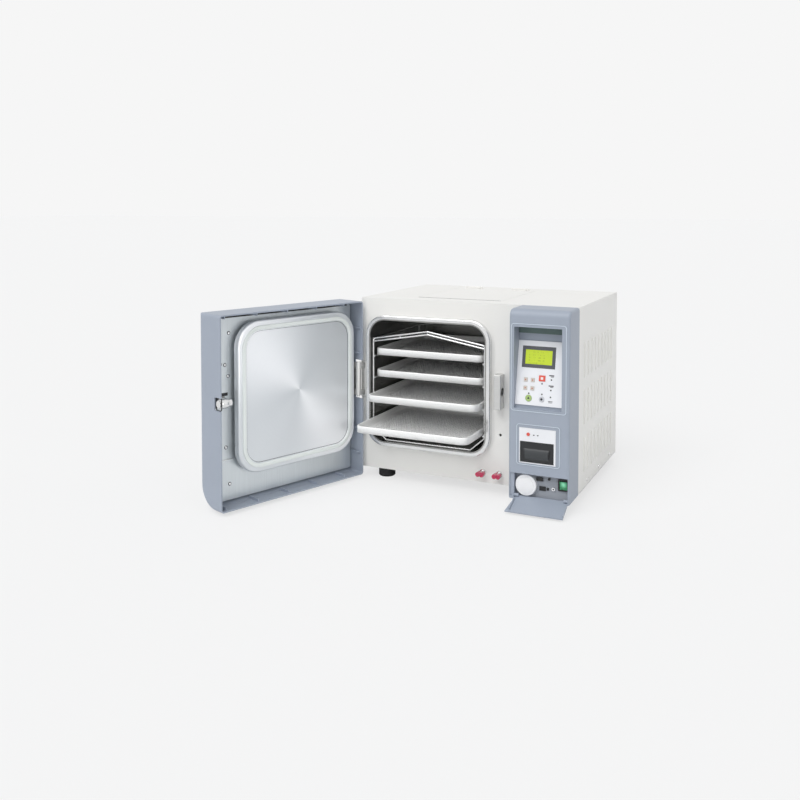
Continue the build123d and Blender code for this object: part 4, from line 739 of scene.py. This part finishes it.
def pale_floor():
    """The floor: to the camera it is mostly the background's own tone, with the shadow on it."""
    floor = bpy.data.materials.new("pale_floor")
    floor.use_nodes = True
    tree = floor.node_tree
    shader = tree.nodes["Principled BSDF"]
    shader.inputs["Base Color"].default_value = (0.9, 0.9, 0.9, 1)
    shader.inputs["Roughness"].default_value = 0.9
    shader.inputs["Specular IOR Level"].default_value = 0.1
    plain = tree.nodes.new("ShaderNodeEmission")
    plain.inputs["Color"].default_value = (*BACKGROUND, 1)
    seen = tree.nodes.new("ShaderNodeLightPath")
    share = tree.nodes.new("ShaderNodeMath")
    share.operation = "MULTIPLY"
    share.inputs[1].default_value = FLOOR_GLOW
    tree.links.new(seen.outputs["Is Camera Ray"], share.inputs[0])
    blend = tree.nodes.new("ShaderNodeMixShader")
    tree.links.new(share.outputs[0], blend.inputs[0])
    tree.links.new(shader.outputs[0], blend.inputs[1])
    tree.links.new(plain.outputs[0], blend.inputs[2])
    tree.links.new(blend.outputs[0], tree.nodes["Material Output"].inputs["Surface"])
    return floor


floor_shape = bmesh.new()
bmesh.ops.create_grid(floor_shape, x_segments=1, y_segments=1, size=40)
floor_mesh = bpy.data.meshes.new("floor")
floor_shape.to_mesh(floor_mesh)
floor_shape.free()
floor_piece = bpy.data.objects.new("floor", floor_mesh)
bpy.context.scene.collection.objects.link(floor_piece)
floor_mesh.materials.append(pale_floor())
floor_piece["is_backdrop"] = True

world = bpy.data.worlds.new("studio")
bpy.context.scene.world = world
world.use_nodes = True
tree = world.node_tree
surround = tree.nodes["Background"]
surround.inputs["Color"].default_value = (0.97, 0.985, 1.0, 1)
surround.inputs["Strength"].default_value = 0.58
backdrop = tree.nodes.new("ShaderNodeBackground")
backdrop.inputs["Color"].default_value = (*BACKGROUND, 1)
rays = tree.nodes.new("ShaderNodeLightPath")
seen = tree.nodes.new("ShaderNodeMath")
seen.operation = "MAXIMUM"
tree.links.new(rays.outputs["Is Camera Ray"], seen.inputs[0])
tree.links.new(rays.outputs["Is Glossy Ray"], seen.inputs[1])
either = tree.nodes.new("ShaderNodeMath")
either.operation = "MAXIMUM"
tree.links.new(seen.outputs[0], either.inputs[0])
tree.links.new(rays.outputs["Is Transmission Ray"], either.inputs[1])
choice = tree.nodes.new("ShaderNodeMixShader")
tree.links.new(either.outputs[0], choice.inputs[0])
tree.links.new(surround.outputs[0], choice.inputs[1])
tree.links.new(backdrop.outputs[0], choice.inputs[2])
tree.links.new(choice.outputs[0], tree.nodes["World Output"].inputs["Surface"])


def add_sun(name, towards, strength, angle):
    """A soft lamp that shines from a way."""
    lamp = bpy.data.lights.new(name, "SUN")
    lamp.energy = strength
    lamp.angle = radians(angle)
    lamp_object = bpy.data.objects.new(name, lamp)
    lamp_object.rotation_euler = Vector(towards).to_track_quat("Z", "Y").to_euler()
    bpy.context.scene.collection.objects.link(lamp_object)


add_sun("key_light", (-0.1, -0.62, 0.85), 1.6, 50)
add_sun("fill_light", (0.75, -0.35, 0.4), 0.08, 80)

# A spot on the open door's inner side
LID_LIGHT_PLACE = (900, -700, 330)
LID_LIGHT_AIM = (-75, -200, 235)
lid_lamp = bpy.data.lights.new("lid_light", "SPOT")
lid_lamp.energy = 15
lid_lamp.spot_size = radians(28)
lid_lamp.spot_blend = 0.6
lid_lamp.shadow_soft_size = 0.15
lid_light = bpy.data.objects.new("lid_light", lid_lamp)
lid_light.location = at(*LID_LIGHT_PLACE)
lid_away = lid_light.location - at(*LID_LIGHT_AIM)
lid_light.rotation_euler = lid_away.to_track_quat("Z", "Y").to_euler()
bpy.context.scene.collection.objects.link(lid_light)

# The camera was solved from the photograph's straight edges
PICTURE_WIDTH = 800
FOCAL_PIXELS = 902
SENSOR_WIDTH = 36
PICTURE_SHIFT = -0.1948
CAMERA_PLACE = (1004.8, -1919.1, 656.1)
CAMERA_DIP = radians(2.5)
CAMERA_TURN = radians(25.21)
camera_data = bpy.data.cameras.new("camera")
camera_data.sensor_width = SENSOR_WIDTH
camera_data.lens = FOCAL_PIXELS * SENSOR_WIDTH / PICTURE_WIDTH
camera_data.shift_y = PICTURE_SHIFT
camera_data.clip_end = 100
camera = bpy.data.objects.new("camera", camera_data)
camera.location = at(*CAMERA_PLACE)
camera.rotation_euler = (pi / 2 - CAMERA_DIP, 0, CAMERA_TURN)
bpy.context.scene.collection.objects.link(camera)
bpy.context.scene.camera = camera
bpy.context.scene.view_settings.view_transform = "Standard"

low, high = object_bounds()
